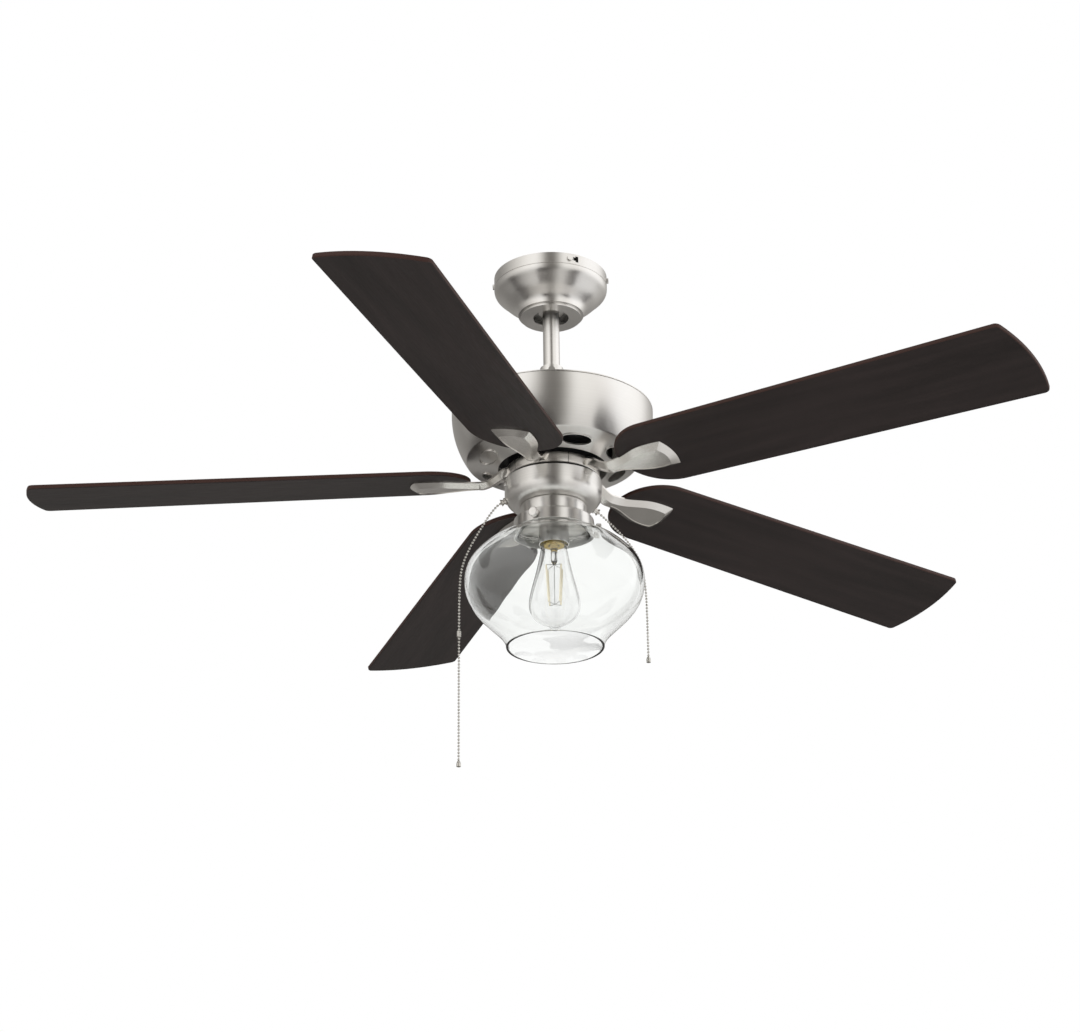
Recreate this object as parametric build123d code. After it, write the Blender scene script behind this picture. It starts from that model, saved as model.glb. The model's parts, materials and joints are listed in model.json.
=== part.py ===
"""A 52-inch five-blade ceiling fan with a downrod, a vented motor bowl and a clear glass light kit.

Millimetres, +Z up. The origin is on the ceiling plane, at the middle of the outlet-box screws,
and everything hangs below it. The section sizes come first, then one function for each piece.
"""

import os
from math import cos, radians, sin, sqrt, tan

from build123d import *

# ---- fits and sheet ----
FIT = 0.05  # radial clearance of a turned piece in its bore
RUN_GAP = 0.3  # between curved faces of pieces that move past each other
SHEET = 1.4  # spun steel of the covers
WALL_POINTS = 5  # stretches that a glass wall's inner line is fitted through

# ---- ceiling bracket and canopy ----
BRACKET_SHEET = 2.0
BOX_SPACING = 88.9
BOX_SLOT_WIDTH = 5.4
BOX_SLOT_LENGTH = 13.0
WELL_HALF_LENGTH = 30.0
WELL_HALF_WIDTH = 22.0
EAR_WIDTH = 12.0
GATE_LENGTH = 60.0  # the side gate that lets the rod in under the ball
GATE_HEIGHT = 30.0
EAR_DROP = 13.0
CANOPY_R = 73.6
CANOPY_HEIGHT = 57.6
CANOPY_SHEET = 1.2
CANOPY_BAND = 13.8
CANOPY_GROOVE = 2.4
CANOPY_GROOVE_IN = 0.8
# the bowl's points, each in from the band and down from the groove
CANOPY_BOWL = ((6.4, 10.8), (17.1, 21.0), (26.1, 27.2))
CANOPY_LINING = 0.94  # the share of the bowl that its inner line follows
CANOPY_FOOT_R = 39.2
CANOPY_FOOT_STEP = 3.2
CANOPY_FOOT_HEIGHT = 3.4
CANOPY_MOUTH_R = 23.0
CANOPY_SCREW_DROP = 7.0
CANOPY_SCREW_AZIMUTHS = (-5.0, 175.0, -70.0, 110.0)
CANOPY_KEYHOLES = (-70.0, 110.0)
KEYHOLE_LENGTH = 12.0
KEYHOLE_HEIGHT = 4.6
CANOPY_SCREW_R = 1.9
CANOPY_SCREW_HEAD_R = 3.6
CANOPY_SCREW_HEAD = 2.2

# ---- hanger ball, downrod and yoke ----
BALL_R = 21.0
BALL_DROP = 36.0
BALL_FLAT = 13.5  # half height between the ball's flats
SEAT_R = 17.5  # the hole in the bracket floor that the ball sits in
ROD_R = 10.65
ROD_BORE_R = 8.3
ROD_ABOVE_BALL = 13.0
YOKE_DROP = 95.0  # ball centre to the yoke's collar
YOKE_COLLAR_R = 14.8
YOKE_COLLAR = 19.0
YOKE_FLANGE_R = 30.0
YOKE_FLANGE = 7.0
YOKE_HEIGHT = 55.0
ROD_IN_YOKE = 30.0
CROSS_PIN_R = 2.5
CROSS_PIN_HEAD_R = 4.2
CROSS_PIN_HEAD = 1.8
YOKE_PIN_DROP = 8.0
COVER_SKIRT_R = 48.0
COVER_MOUTH_GAP = 1.5
COVER_DROP = 13.0  # how far the yoke cover starts under the collar's top

# ---- motor housing ----
HOUSING_R = 128.6
TOP_COVER_HEIGHT = 9.5
RIM_WIDTH = 22.0
RIM_ROUND = 1.6
BOWL_DEPTH = 67.2
CREASE_R = 109.6
CREASE_ROUND = 3.0
DISH_DEPTH = 11.2
DISH_MOUTH_R = 69.6
VENT_COUNT = 8
VENT_START = -70.0
VENT_R = 86.5
VENT_LENGTH = 39.0
VENT_WIDTH = 19.6
VENT_LIP = 1.3
VENT_LIP_OUT = 0.9
VENT_LIP_IN = 1.1
HOUSING_SCREWS = 6
HOUSING_SCREW_R = 2.0
HOUSING_SCREW_HEAD_R = 3.8
HOUSING_SCREW_HEAD = 2.4

# ---- motor ----
SHAFT_R = 8.5
SHAFT_BORE_R = 5.2
SHAFT_IN_YOKE = 14.0
SHAFT_BELOW_PLATE = 9.0
MOTOR_DROP = 16.0  # under the top cover's flat
MOTOR_HEIGHT = 56.0
MOTOR_R = 76.0
MOTOR_SHEET = 2.5
BEARING_R = 20.0
BEARING_WIDTH = 12.0
BEARING_BOSS = 4.0
STACK_HEIGHT = 24.0
STATOR_R = 61.0
ROTOR_GAP = 0.4
STATOR_SLOTS = 16
STATOR_SLOT_WIDTH = 5.0
STATOR_YOKE_R = 33.0
WINDING_R = (35.0, 56.0)
WINDING_HEIGHT = 7.0
FLYWHEEL_R = 57.0
FLYWHEEL_BORE_GAP = 1.5

# ---- blade irons ----
IRON_COUNT = 5
IRON_START = -34.8
RING_R = 59.4
RING_BORE_R = 40.0
RING_HEIGHT = 14.8
RING_SEAM = 0.7
RING_EDGE = 0.9
IRON_SCREW_R = 2.4
IRON_SCREW_HEAD_R = 4.2
IRON_SCREW_HEAD = 3.4
IRON_SCREW_LENGTH = 17.0
IRON_SCREW_TURN = 23.0
IRON_SCREW_CIRCLE = 49.5
LEAF_BACK = 94.0
LEAF_SIDE = ((94.0, 11.7), (110.9, 14.4), (138.6, 23.8), (158.4, 25.7))
LEAF_CORNER = (175.7, 24.8)
LEAF_END = 180.7
LEAF_EDGE = 2.0
LEAF_BEVEL = 8.0
LEAF_DEPTH = 7.7
LEAF_STEP = 0.9  # the flat border round the leaf's sunk panel
LEAF_STEP_DEPTH = 0.5

# ---- blades ----
BLADE_TIP_R = 660.4
BLADE_ROOT_R = 104.1
BLADE_ROOT_HALF = 60.4
BLADE_TIP_HALF = 68.7
BLADE_TIP_BULGE = 10.9
BLADE_CORNER_R = 8.0
BLADE_THICK = 5.6
BLADE_EDGE = 0.9
BLADE_DROOP = 2.1
BLADE_PITCH = 12.1
BLADE_PLANE_LIFT = -0.3  # the blade plane at the axis, above the ring's lower face
BLADE_SCREW_R = 2.2
BLADE_SCREW_HEAD_R = 5.0
BLADE_SCREW_HEAD = 2.2
BLADE_SCREW_BITE = 4.5
BLADE_SCREWS = ((124.0, 0.0), (160.0, 15.0), (160.0, -15.0))

# ---- switch housing ----
RING_GAP = 3.6  # between the turning ring and the switch housing
CUP_R = 61.5
CUP_BAND = 16.8
CUP_CURVE_R = 16.7
CUP_MOUTH_R = 34.0
PLATE_FLANGE = 9.5
CUP_SCREW_DROP = 6.5
CUP_SCREW_START = -47.0
CUP_SCREW_R = 1.9
CUP_SCREW_HEAD_R = 3.4
CUP_SCREW_HEAD = 2.0
NUT_R = 14.0
NUT_HEIGHT = 6.0
MOUTH_AZIMUTHS = {"fan": 180.0, "light": 31.0}
MOUTH_TILT = 25.0
MOUTH_LENGTH = 6.4
MOUTH_R = 3.2
MOUTH_BELL_R = 4.7
MOUTH_BORE_R = 2.3
SWITCH_BODY = (24.0, 24.0, 13.0)
SWITCH_NECK = 12.0
REVERSE_AZIMUTH = 105.0
REVERSE_DROP = 14.6
REVERSE_TRAVEL = 3.0
REVERSE_KEY = (6.4, 5.0)  # its width and height
REVERSE_SIDE_GAP = 0.4
REVERSE_END_GAP = 0.5

# ---- light kit ----
NECK_R = 42.6
NECK_HEIGHT = 18.0
FITTER_TOP_R = 50.3
FITTER_R = 52.2
FITTER_HEIGHT = 17.0
FITTER_ROUND = 3.0
FITTER_SHEET = 1.2
GLASS_WALL = 3.0
GLASS_NECK_R = 47.6
GLASS_BEAD_R = 49.2
GLASS_BEAD = 2.6
GLASS_SEAT = 4.2  # under the fitter's roof
GLASS_SHOULDER = ((74.3, -29.3), (99.0, -49.1))
GLASS_BELLY = (112.9, -83.8)
GLASS_WAIST = ((97.0, -123.4), (69.3, -151.1))
GLASS_MOUTH = (61.0, -170.4)
THUMB_COUNT = 3
THUMB_START = -116.0
THUMB_DROP = 9.6
THUMB_SHANK_R = 2.0
THUMB_HEAD_R = 6.0
THUMB_HEAD = 6.5
THUMB_STANDOFF = 2.0
NIPPLE_R = 5.0
NIPPLE_BORE_R = 3.4
NIPPLE_ABOVE = 12.0
SOCKET_R = 19.0
SOCKET_WALL = 1.2
SOCKET_DROP = 1.6  # under the fitter's roof
SOCKET_HEIGHT = 29.4
SHELL_R = 14.6
SHELL_WALL = 0.7
LAMP_BASE_R = 13.1
LAMP_BASE = 25.0
LAMP_BASE_DROP = 6.5
LAMP_R = 32.2
LAMP_LENGTH = 114.0
LAMP_BELLY = 77.0
LAMP_WALL = 1.0
STEM_DROP = 30.0
MAST_DROP = 82.0

# ---- pull chains ----
CHAIN_R = 1.6
FOB_R = 2.7
FOB_LENGTH = 8.0
CHAIN_JOIN_LENGTH = 8.0
FAN_CHAIN = (
    (-57.7, 0.0, -315.1),
    (-67.8, 0.0, -319.8),
    (-75.0, 0.0, -327.0),
    (-85.6, 0.0, -343.0),
    (-103.4, 0.0, -374.0),
    (-115.8, 0.0, -404.0),
    (-118.8, 0.0, -436.0),
    (-118.8, 0.0, -490.5),
)
FAN_CHAIN_TAIL = 160.0
LIGHT_CHAIN = (
    (49.4, 29.7, -315.1),
    (58.1, 34.9, -319.8),
    (65.6, 36.6, -326.8),
    (78.0, 36.2, -340.0),
    (97.0, 33.0, -364.0),
    (110.0, 30.0, -392.0),
    (114.6, 28.8, -425.0),
    (115.3, 28.4, -471.0),
    (115.3, 28.4, -517.5),
)

# ---- heights down the axis ----
BALL_Z = -BALL_DROP
CANOPY_FOOT_Z = -CANOPY_HEIGHT
YOKE_TOP_Z = BALL_Z - YOKE_DROP
COVER_TOP_Z = YOKE_TOP_Z - COVER_DROP
COVER_FLAT_Z = YOKE_TOP_Z - YOKE_HEIGHT
HOUSING_TOP_Z = COVER_FLAT_Z - TOP_COVER_HEIGHT
RIM_Z = HOUSING_TOP_Z - SHEET
CREASE_Z = HOUSING_TOP_Z - BOWL_DEPTH
DISH_Z = CREASE_Z - DISH_DEPTH
RING_TOP_Z = DISH_Z
RING_FOOT_Z = RING_TOP_Z - RING_HEIGHT
BLADE_Z = RING_FOOT_Z + BLADE_PLANE_LIFT
CUP_TOP_Z = RING_FOOT_Z - RING_GAP
CUP_BEND_Z = CUP_TOP_Z - CUP_BAND
CUP_FOOT_Z = CUP_BEND_Z - CUP_CURVE_R
NECK_FOOT_Z = CUP_FOOT_Z - NECK_HEIGHT
FITTER_FOOT_Z = NECK_FOOT_Z - FITTER_HEIGHT
GLASS_TOP_Z = NECK_FOOT_Z - GLASS_SEAT
MOTOR_TOP_Z = COVER_FLAT_Z - MOTOR_DROP
MOTOR_FOOT_Z = MOTOR_TOP_Z - MOTOR_HEIGHT
STACK_Z = (MOTOR_TOP_Z + MOTOR_FOOT_Z) / 2
SHAFT_TOP_Z = COVER_FLAT_Z + SHAFT_IN_YOKE
SHAFT_FOOT_Z = CUP_TOP_Z - SHAFT_BELOW_PLATE
SOCKET_TOP_Z = NECK_FOOT_Z - FITTER_SHEET - SOCKET_DROP
SOCKET_FOOT_Z = SOCKET_TOP_Z - SOCKET_HEIGHT
LAMP_TOP_Z = SOCKET_TOP_Z - LAMP_BASE_DROP
LAMP_GLASS_Z = LAMP_TOP_Z - LAMP_BASE

UP = (Align.CENTER, Align.CENTER, Align.MIN)
DOWN = (Align.CENTER, Align.CENTER, Align.MAX)


# ---- shared shapes ----
def turned(*corners):
    """A solid of revolution about Z, from the (radius, z) corners of its half section."""
    return revolve(Plane.XZ * make_face(Polyline(*corners, close=True)), Axis.Z)


def tube(outer, inner, top, foot):
    return turned((inner, top), (outer, top), (outer, foot), (inner, foot))


def spun(outline, wall):
    """Sheet metal spun about Z. The outline is its outer line, drawn downward."""
    outer = Wire(outline.edges())
    section = outer.offset_2d(wall, kind=Kind.INTERSECTION, side=Side.RIGHT, closed=True)
    return revolve(Plane.XZ * make_face(section.edges()), Axis.Z)


def inside_line(line, wall):
    """A smooth line that runs one wall to the right of another, drawn the other way."""
    places = [line @ (i / WALL_POINTS) for i in range(WALL_POINTS + 1)]
    turns = [line % (i / WALL_POINTS) for i in range(WALL_POINTS + 1)]
    moved = [p + Vector(t.Y, -t.X) * wall for p, t in zip(places, turns)]
    return Spline(*reversed(moved), tangents=[-turns[-1], -turns[0]])


def blown(lines, wall):
    """Glass spun about Z between a chain of outer lines, drawn downward, and their inner lines."""
    inner = [inside_line(line, wall) for line in reversed(lines)]
    loop = list(lines)
    for line in inner:
        if ((loop[-1] @ 1) - (line @ 0)).length > 1e-6:
            loop.append(Line(loop[-1] @ 1, line @ 0))
        loop.append(line)
    loop.append(Line(loop[-1] @ 1, lines[0] @ 0))
    edges = [edge for line in loop for edge in line.edges()]
    return revolve(Plane.XZ * make_face(edges), Axis.Z)


def radial(azimuth, radius, z, tilt=0.0):
    """A place at an azimuth whose local Z points outward, tilted down by an angle."""
    return Rot(Z=azimuth) * Pos(radius, 0, z) * Rot(Y=90 + tilt)


def screw(head_r, head, shank_r, shank):
    """A screw whose head stands on the local XY plane, with its shank along -Z."""
    return Cylinder(head_r, head, align=UP) + Cylinder(shank_r, shank, align=DOWN)


def group(pieces):
    return Compound(children=[piece.solid() for piece in pieces])


def azimuths(count, start):
    return [start + 360.0 * i / count for i in range(count)]


# ---- ceiling bracket and canopy ----
def hanger_bracket():
    """A round plate with a well whose floor seats the ball, and four ears for the canopy."""
    plate_r = CANOPY_R - CANOPY_SHEET - RUN_GAP
    well = Rectangle(2 * WELL_HALF_LENGTH, 2 * WELL_HALF_WIDTH)
    plate = Plane.XY * (Circle(plate_r) - well)
    bracket = extrude(plate, -BRACKET_SHEET)
    seat_drop = sqrt(BALL_R**2 - SEAT_R**2)
    floor_z = BALL_Z - seat_drop
    strap = FilletPolyline(
        (-WELL_HALF_LENGTH, 0),
        (-WELL_HALF_LENGTH, floor_z),
        (WELL_HALF_LENGTH, floor_z),
        (WELL_HALF_LENGTH, 0),
        radius=5.0,
    )
    section = Wire(strap.edges()).offset_2d(BRACKET_SHEET, side=Side.RIGHT, closed=True)
    strap_face = Plane.XZ * make_face(section.edges())
    bracket += extrude(strap_face, WELL_HALF_WIDTH, both=True)
    ear_r = sqrt(plate_r**2 - (EAR_WIDTH / 2) ** 2)
    ear = Pos(ear_r, 0, 0) * Box(
        BRACKET_SHEET, EAR_WIDTH, EAR_DROP, align=(Align.MAX, Align.CENTER, Align.MAX)
    )
    for azimuth in CANOPY_SCREW_AZIMUTHS:
        bracket += Rot(Z=azimuth) * ear
        bracket -= radial(azimuth, plate_r, -CANOPY_SCREW_DROP) * Cylinder(CANOPY_SCREW_R + FIT, 20)
    slot = SlotOverall(BOX_SLOT_LENGTH, BOX_SLOT_WIDTH)
    for side in (-1, 1):
        bracket -= extrude(Pos(side * BOX_SPACING / 2, 0, 0) * slot, -2 * BRACKET_SHEET)
    bracket -= Pos(0, 0, BALL_Z) * Sphere(BALL_R + RUN_GAP)
    gate = Box(2 * ROD_R + 4, GATE_LENGTH, GATE_HEIGHT, align=(Align.CENTER, Align.MIN, Align.CENTER))
    bracket -= Pos(0, ROD_R / 2, floor_z) * gate
    return bracket


def canopy():
    """The bowl over the bracket, with a band, a rolled groove and a foot ring round the ball."""
    curve_z = -CANOPY_BAND - CANOPY_GROOVE
    foot_top_z = CANOPY_FOOT_Z + CANOPY_FOOT_HEIGHT
    band = Line((CANOPY_R, 0), (CANOPY_R, curve_z))
    bowl_foot = (CANOPY_FOOT_R + CANOPY_FOOT_STEP, foot_top_z)
    waist = [(CANOPY_R - inward, curve_z - down) for inward, down in CANOPY_BOWL]
    bowl = Spline(band @ 1, *waist, bowl_foot, tangents=[(0, -1), (0, -1)])
    foot = Polyline(
        bowl_foot,
        (CANOPY_FOOT_R, foot_top_z - 0.4),
        (CANOPY_FOOT_R, CANOPY_FOOT_Z),
        (CANOPY_MOUTH_R, CANOPY_FOOT_Z),
    )
    lining = inside_line(bowl.trim(0, CANOPY_LINING), CANOPY_SHEET)
    ledge = Polyline(
        foot @ 1,
        (CANOPY_MOUTH_R, CANOPY_FOOT_Z + CANOPY_SHEET),
        (CANOPY_FOOT_R - CANOPY_SHEET, CANOPY_FOOT_Z + CANOPY_SHEET),
        (CANOPY_FOOT_R - CANOPY_SHEET, foot_top_z + CANOPY_SHEET),
        lining @ 0,
    )
    back = Polyline(lining @ 1, (CANOPY_R - CANOPY_SHEET, 0), band @ 0)
    edges = [edge for line in (band, bowl, foot, ledge, lining, back) for edge in line.edges()]
    shell = revolve(Plane.XZ * make_face(edges), Axis.Z)
    shell -= turned(
        (CANOPY_R + 1, -CANOPY_BAND),
        (CANOPY_R - CANOPY_GROOVE_IN, -CANOPY_BAND - CANOPY_GROOVE / 2),
        (CANOPY_R + 1, curve_z),
    )
    for azimuth in CANOPY_SCREW_AZIMUTHS:
        shell -= radial(azimuth, CANOPY_R, -CANOPY_SCREW_DROP) * Cylinder(CANOPY_SCREW_R + 0.3, 12)
    for azimuth in CANOPY_KEYHOLES:
        slide = Pos(0, KEYHOLE_LENGTH / 2, 0) * Box(KEYHOLE_HEIGHT, KEYHOLE_LENGTH, 12)
        notch = Pos(0, KEYHOLE_LENGTH - 2, 0) * Box(2 * CANOPY_SCREW_HEAD_R + 1, 4, 12)
        shell -= radial(azimuth, CANOPY_R, -CANOPY_SCREW_DROP) * (slide + notch)
    return shell


def canopy_screws():
    one = screw(CANOPY_SCREW_HEAD_R, CANOPY_SCREW_HEAD, CANOPY_SCREW_R, 7.0)
    places = [radial(a, CANOPY_R + FIT, -CANOPY_SCREW_DROP) for a in CANOPY_SCREW_AZIMUTHS]
    return group([place * one for place in places])


# ---- hanger ball, downrod and yoke ----
def hanger_ball():
    ball = Sphere(BALL_R) & Cylinder(BALL_R, 2 * BALL_FLAT)
    ball -= Cylinder(ROD_R + FIT, 3 * BALL_R)
    ball = Pos(0, 0, BALL_Z) * ball
    return ball - Pos(0, 0, BALL_Z) * Rot(X=90) * Cylinder(CROSS_PIN_R + FIT, 3 * BALL_R)


def downrod():
    """A steel pipe, cross drilled for the pin in the ball and the pin in the yoke."""
    top_z = BALL_Z + ROD_ABOVE_BALL
    foot_z = YOKE_TOP_Z - ROD_IN_YOKE
    rod = tube(ROD_R, ROD_BORE_R, top_z, foot_z)
    for z in (BALL_Z, YOKE_TOP_Z - YOKE_PIN_DROP):
        rod -= Pos(0, 0, z) * Rot(X=90) * Cylinder(CROSS_PIN_R + FIT, 4 * ROD_R)
    return rod


def cross_pins():
    """The pin through ball and rod, and the headed pin through yoke and rod."""
    ball_half = sqrt(BALL_R**2 - CROSS_PIN_R**2) - 0.4
    in_ball = Pos(0, 0, BALL_Z) * Rot(X=90) * Cylinder(CROSS_PIN_R, 2 * ball_half)
    in_yoke = screw(CROSS_PIN_HEAD_R, CROSS_PIN_HEAD, CROSS_PIN_R, 2 * YOKE_COLLAR_R + 3)
    place = radial(-90, YOKE_COLLAR_R + FIT, YOKE_TOP_Z - YOKE_PIN_DROP)
    return group([in_ball, place * in_yoke])


def yoke():
    """The cast coupling: a collar on the rod that flares to a flange on the motor."""
    bore = ROD_R + FIT
    rod_seat_z = YOKE_TOP_Z - ROD_IN_YOKE
    body = turned(
        (bore, YOKE_TOP_Z),
        (YOKE_COLLAR_R, YOKE_TOP_Z),
        (YOKE_COLLAR_R, YOKE_TOP_Z - YOKE_COLLAR),
        (YOKE_FLANGE_R - 8, COVER_FLAT_Z + YOKE_FLANGE + 6),
        (YOKE_FLANGE_R, COVER_FLAT_Z + YOKE_FLANGE),
        (YOKE_FLANGE_R, COVER_FLAT_Z),
        (SHAFT_R + FIT, COVER_FLAT_Z),
        (SHAFT_R + FIT, SHAFT_TOP_Z),
        (SHAFT_BORE_R, SHAFT_TOP_Z),
        (SHAFT_BORE_R, rod_seat_z),
        (bore, rod_seat_z),
    )
    pin = radial(-90, 0, YOKE_TOP_Z - YOKE_PIN_DROP) * Cylinder(CROSS_PIN_R + FIT, 4 * YOKE_COLLAR_R)
    return body - pin


def yoke_cover():
    """The bell that hides the yoke and rests on the top cover."""
    mouth = YOKE_COLLAR_R + COVER_MOUTH_GAP
    shoulder_z = COVER_TOP_Z - 20.0
    outline = FilletPolyline(
        (mouth, COVER_TOP_Z),
        (YOKE_FLANGE_R, COVER_TOP_Z - 6.0),
        (COVER_SKIRT_R, shoulder_z),
        (COVER_SKIRT_R, COVER_FLAT_Z),
        radius=7.0,
    )
    return spun(outline, SHEET)


# ---- motor housing ----
def housing_screw_circle():
    return HOUSING_R - RIM_WIDTH / 2


def top_cover():
    """The lid of the motor bowl: a flat rim, a low cone and a flat that the yoke stands on."""
    cone_top_r = COVER_SKIRT_R + 3.0
    outline = FilletPolyline(
        (SHAFT_R + FIT, COVER_FLAT_Z),
        (cone_top_r, COVER_FLAT_Z),
        (HOUSING_R - RIM_WIDTH - 1, HOUSING_TOP_Z),
        (HOUSING_R, HOUSING_TOP_Z),
        radius=4.0,
    )
    cover = spun(outline, SHEET)
    for azimuth in azimuths(HOUSING_SCREWS, 0):
        place = Rot(Z=azimuth) * Pos(housing_screw_circle(), 0, HOUSING_TOP_Z)
        cover -= place * Cylinder(HOUSING_SCREW_R + FIT, 12)
    return cover


def motor_housing():
    """The spun bowl with its creased, dished underside and eight lipped vents."""
    bowl_top = (HOUSING_R, RIM_Z - RIM_ROUND)
    rim = FilletPolyline(
        (HOUSING_R - RIM_WIDTH, RIM_Z), (HOUSING_R, RIM_Z), bowl_top, radius=RIM_ROUND * 0.8
    )
    bowl = TangentArc(bowl_top, (CREASE_R, CREASE_Z), tangent=(0, -1))
    dish = Line((CREASE_R, CREASE_Z), (DISH_MOUTH_R, DISH_Z))
    outer = Wire((rim + bowl + dish).edges())
    section = make_face(
        outer.offset_2d(SHEET, kind=Kind.INTERSECTION, side=Side.RIGHT, closed=True).edges()
    )
    creases = section.vertices().sort_by_distance((CREASE_R, CREASE_Z))[:2]
    section = fillet(creases[0], CREASE_ROUND)
    shell = revolve(Plane.XZ * section, Axis.Z)
    slope = (CREASE_R - VENT_R) / (CREASE_R - DISH_MOUTH_R)
    vent_z = CREASE_Z - DISH_DEPTH * slope
    tilt = Rot(Y=-Vector(CREASE_R - DISH_MOUTH_R, DISH_DEPTH).get_angle(Vector(1, 0)))
    opening = vent(0)
    lip = extrude(vent(VENT_LIP) - opening, VENT_LIP_OUT + VENT_LIP_IN)
    hole = extrude(opening, 30, both=True)
    for azimuth in azimuths(VENT_COUNT, VENT_START):
        place = Rot(Z=azimuth) * Pos(VENT_R, 0, vent_z) * tilt
        shell -= place * hole
        shell += place * Pos(0, 0, -VENT_LIP_OUT) * lip
    for azimuth in azimuths(HOUSING_SCREWS, 0):
        place = Rot(Z=azimuth) * Pos(housing_screw_circle(), 0, RIM_Z)
        shell -= place * Cylinder(HOUSING_SCREW_R + FIT, 12)
    return shell


def vent(grow):
    """An oval opening, its length along the circle of vents."""
    return Ellipse(VENT_WIDTH / 2 + grow, VENT_LENGTH / 2 + grow)


def housing_screws():
    one = screw(HOUSING_SCREW_HEAD_R, HOUSING_SCREW_HEAD, HOUSING_SCREW_R, 6.0)
    circle = housing_screw_circle()
    places = [Rot(Z=a) * Pos(circle, 0, HOUSING_TOP_Z) for a in azimuths(HOUSING_SCREWS, 0)]
    return group([place * one for place in places])


# ---- motor ----
def motor_shaft():
    return tube(SHAFT_R, SHAFT_BORE_R, SHAFT_TOP_Z, SHAFT_FOOT_Z)


def stator_core():
    """The fixed stack of laminations, slotted for its coils and pressed on the shaft."""
    disc = Circle(STATOR_R) - Circle(SHAFT_R + FIT)
    slot_length = STATOR_R - STATOR_YOKE_R - 4.0
    slot_middle = STATOR_YOKE_R + slot_length / 2
    slot = Rectangle(slot_length, STATOR_SLOT_WIDTH)
    mouth = Rectangle(10.0, 1.6)
    for azimuth in azimuths(STATOR_SLOTS, 0):
        disc -= Rot(Z=azimuth) * Pos(slot_middle, 0) * slot
        disc -= Rot(Z=azimuth) * Pos(STATOR_R, 0) * mouth
    return Pos(0, 0, STACK_Z) * extrude(disc, STACK_HEIGHT / 2, both=True)


def stator_windings():
    """The coil heads above and below the stack."""
    inner, outer = WINDING_R
    rings = []
    for side in (-1, 1):
        face_z = STACK_Z + side * STACK_HEIGHT / 2
        end_z = face_z + side * WINDING_HEIGHT
        rings.append(
            turned(
                (inner, face_z), (outer, face_z), (outer - 2, end_z), (inner + 2, end_z)
            )
        )
    return group(rings)


def rotor_shell(top):
    """One half of the turning motor case, with the boss for its bearing."""
    split_z = STACK_Z
    end_z = MOTOR_TOP_Z if top else MOTOR_FOOT_Z
    inward = -1 if top else 1
    roof_z = end_z + inward * MOTOR_SHEET
    boss_z = end_z + inward * (BEARING_WIDTH + 0.4)
    inner = MOTOR_R - MOTOR_SHEET
    seat = BEARING_R + FIT
    return turned(
        (seat, end_z),
        (MOTOR_R - 4, end_z),
        (MOTOR_R, end_z + inward * 5),
        (MOTOR_R, split_z),
        (inner, split_z),
        (inner, roof_z + inward * 4),
        (inner - 3, roof_z),
        (BEARING_R + BEARING_BOSS, roof_z),
        (BEARING_R + BEARING_BOSS, boss_z),
        (seat, boss_z),
    )


def rotor_core():
    """The turning ring of laminations round the stator."""
    inner = STATOR_R + ROTOR_GAP
    outer = MOTOR_R - MOTOR_SHEET - FIT
    return tube(outer, inner, STACK_Z + STACK_HEIGHT / 2, STACK_Z - STACK_HEIGHT / 2)


def motor_bearings():
    bearings = []
    for top_z in (MOTOR_TOP_Z, MOTOR_FOOT_Z + BEARING_WIDTH):
        bearings.append(tube(BEARING_R, SHAFT_R + FIT, top_z, top_z - BEARING_WIDTH))
    return group(bearings)


def iron_screw_azimuths():
    turns = (-IRON_SCREW_TURN, IRON_SCREW_TURN)
    return [a + turn for a in azimuths(IRON_COUNT, IRON_START) for turn in turns]


def flywheel():
    """The hub under the motor case that the five blade irons bolt to."""
    hub = tube(FLYWHEEL_R, SHAFT_R + FLYWHEEL_BORE_GAP, MOTOR_FOOT_Z, RING_TOP_Z)
    depth = IRON_SCREW_LENGTH - (RING_HEIGHT - IRON_SCREW_HEAD) + 1.0
    tapped = Cylinder(IRON_SCREW_R + FIT, depth, align=UP)
    for azimuth in iron_screw_azimuths():
        hub -= Rot(Z=azimuth) * Pos(IRON_SCREW_CIRCLE, 0, RING_TOP_Z) * tapped
    return hub


# ---- blade irons and blades ----
def blade_place():
    """The place of a blade at azimuth 0: X outward along it, Z out of its upper face."""
    return Pos(0, 0, BLADE_Z) * Rot(Y=BLADE_DROOP) * Rot(X=-BLADE_PITCH)


def leaf_outline(inset):
    """The leaf plate's outline, its sides and its bowed end moved in by an inset."""
    side = [(s, half - inset) for s, half in LEAF_SIDE]
    corner = (LEAF_CORNER[0] - inset, LEAF_CORNER[1] - inset)
    far = (corner[0], -corner[1])
    upper = Spline(*side, corner)
    end = ThreePointArc(corner, (LEAF_END - inset, 0), far)
    lower = Spline(far, *[(s, -half) for s, half in reversed(side)])
    back = Line(lower @ 1, upper @ 0)
    return make_face((upper + end + lower + back).edges())


def arm_section(half, panel_half, edge, depth):
    """The arm's section, flat on top and bevelled to a narrower panel below."""
    corners = (
        (half, 0),
        (half, -edge),
        (panel_half, -depth),
        (-panel_half, -depth),
        (-half, -edge),
        (-half, 0),
    )
    return Plane.YZ * make_face(Polyline(*corners, close=True))


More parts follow.
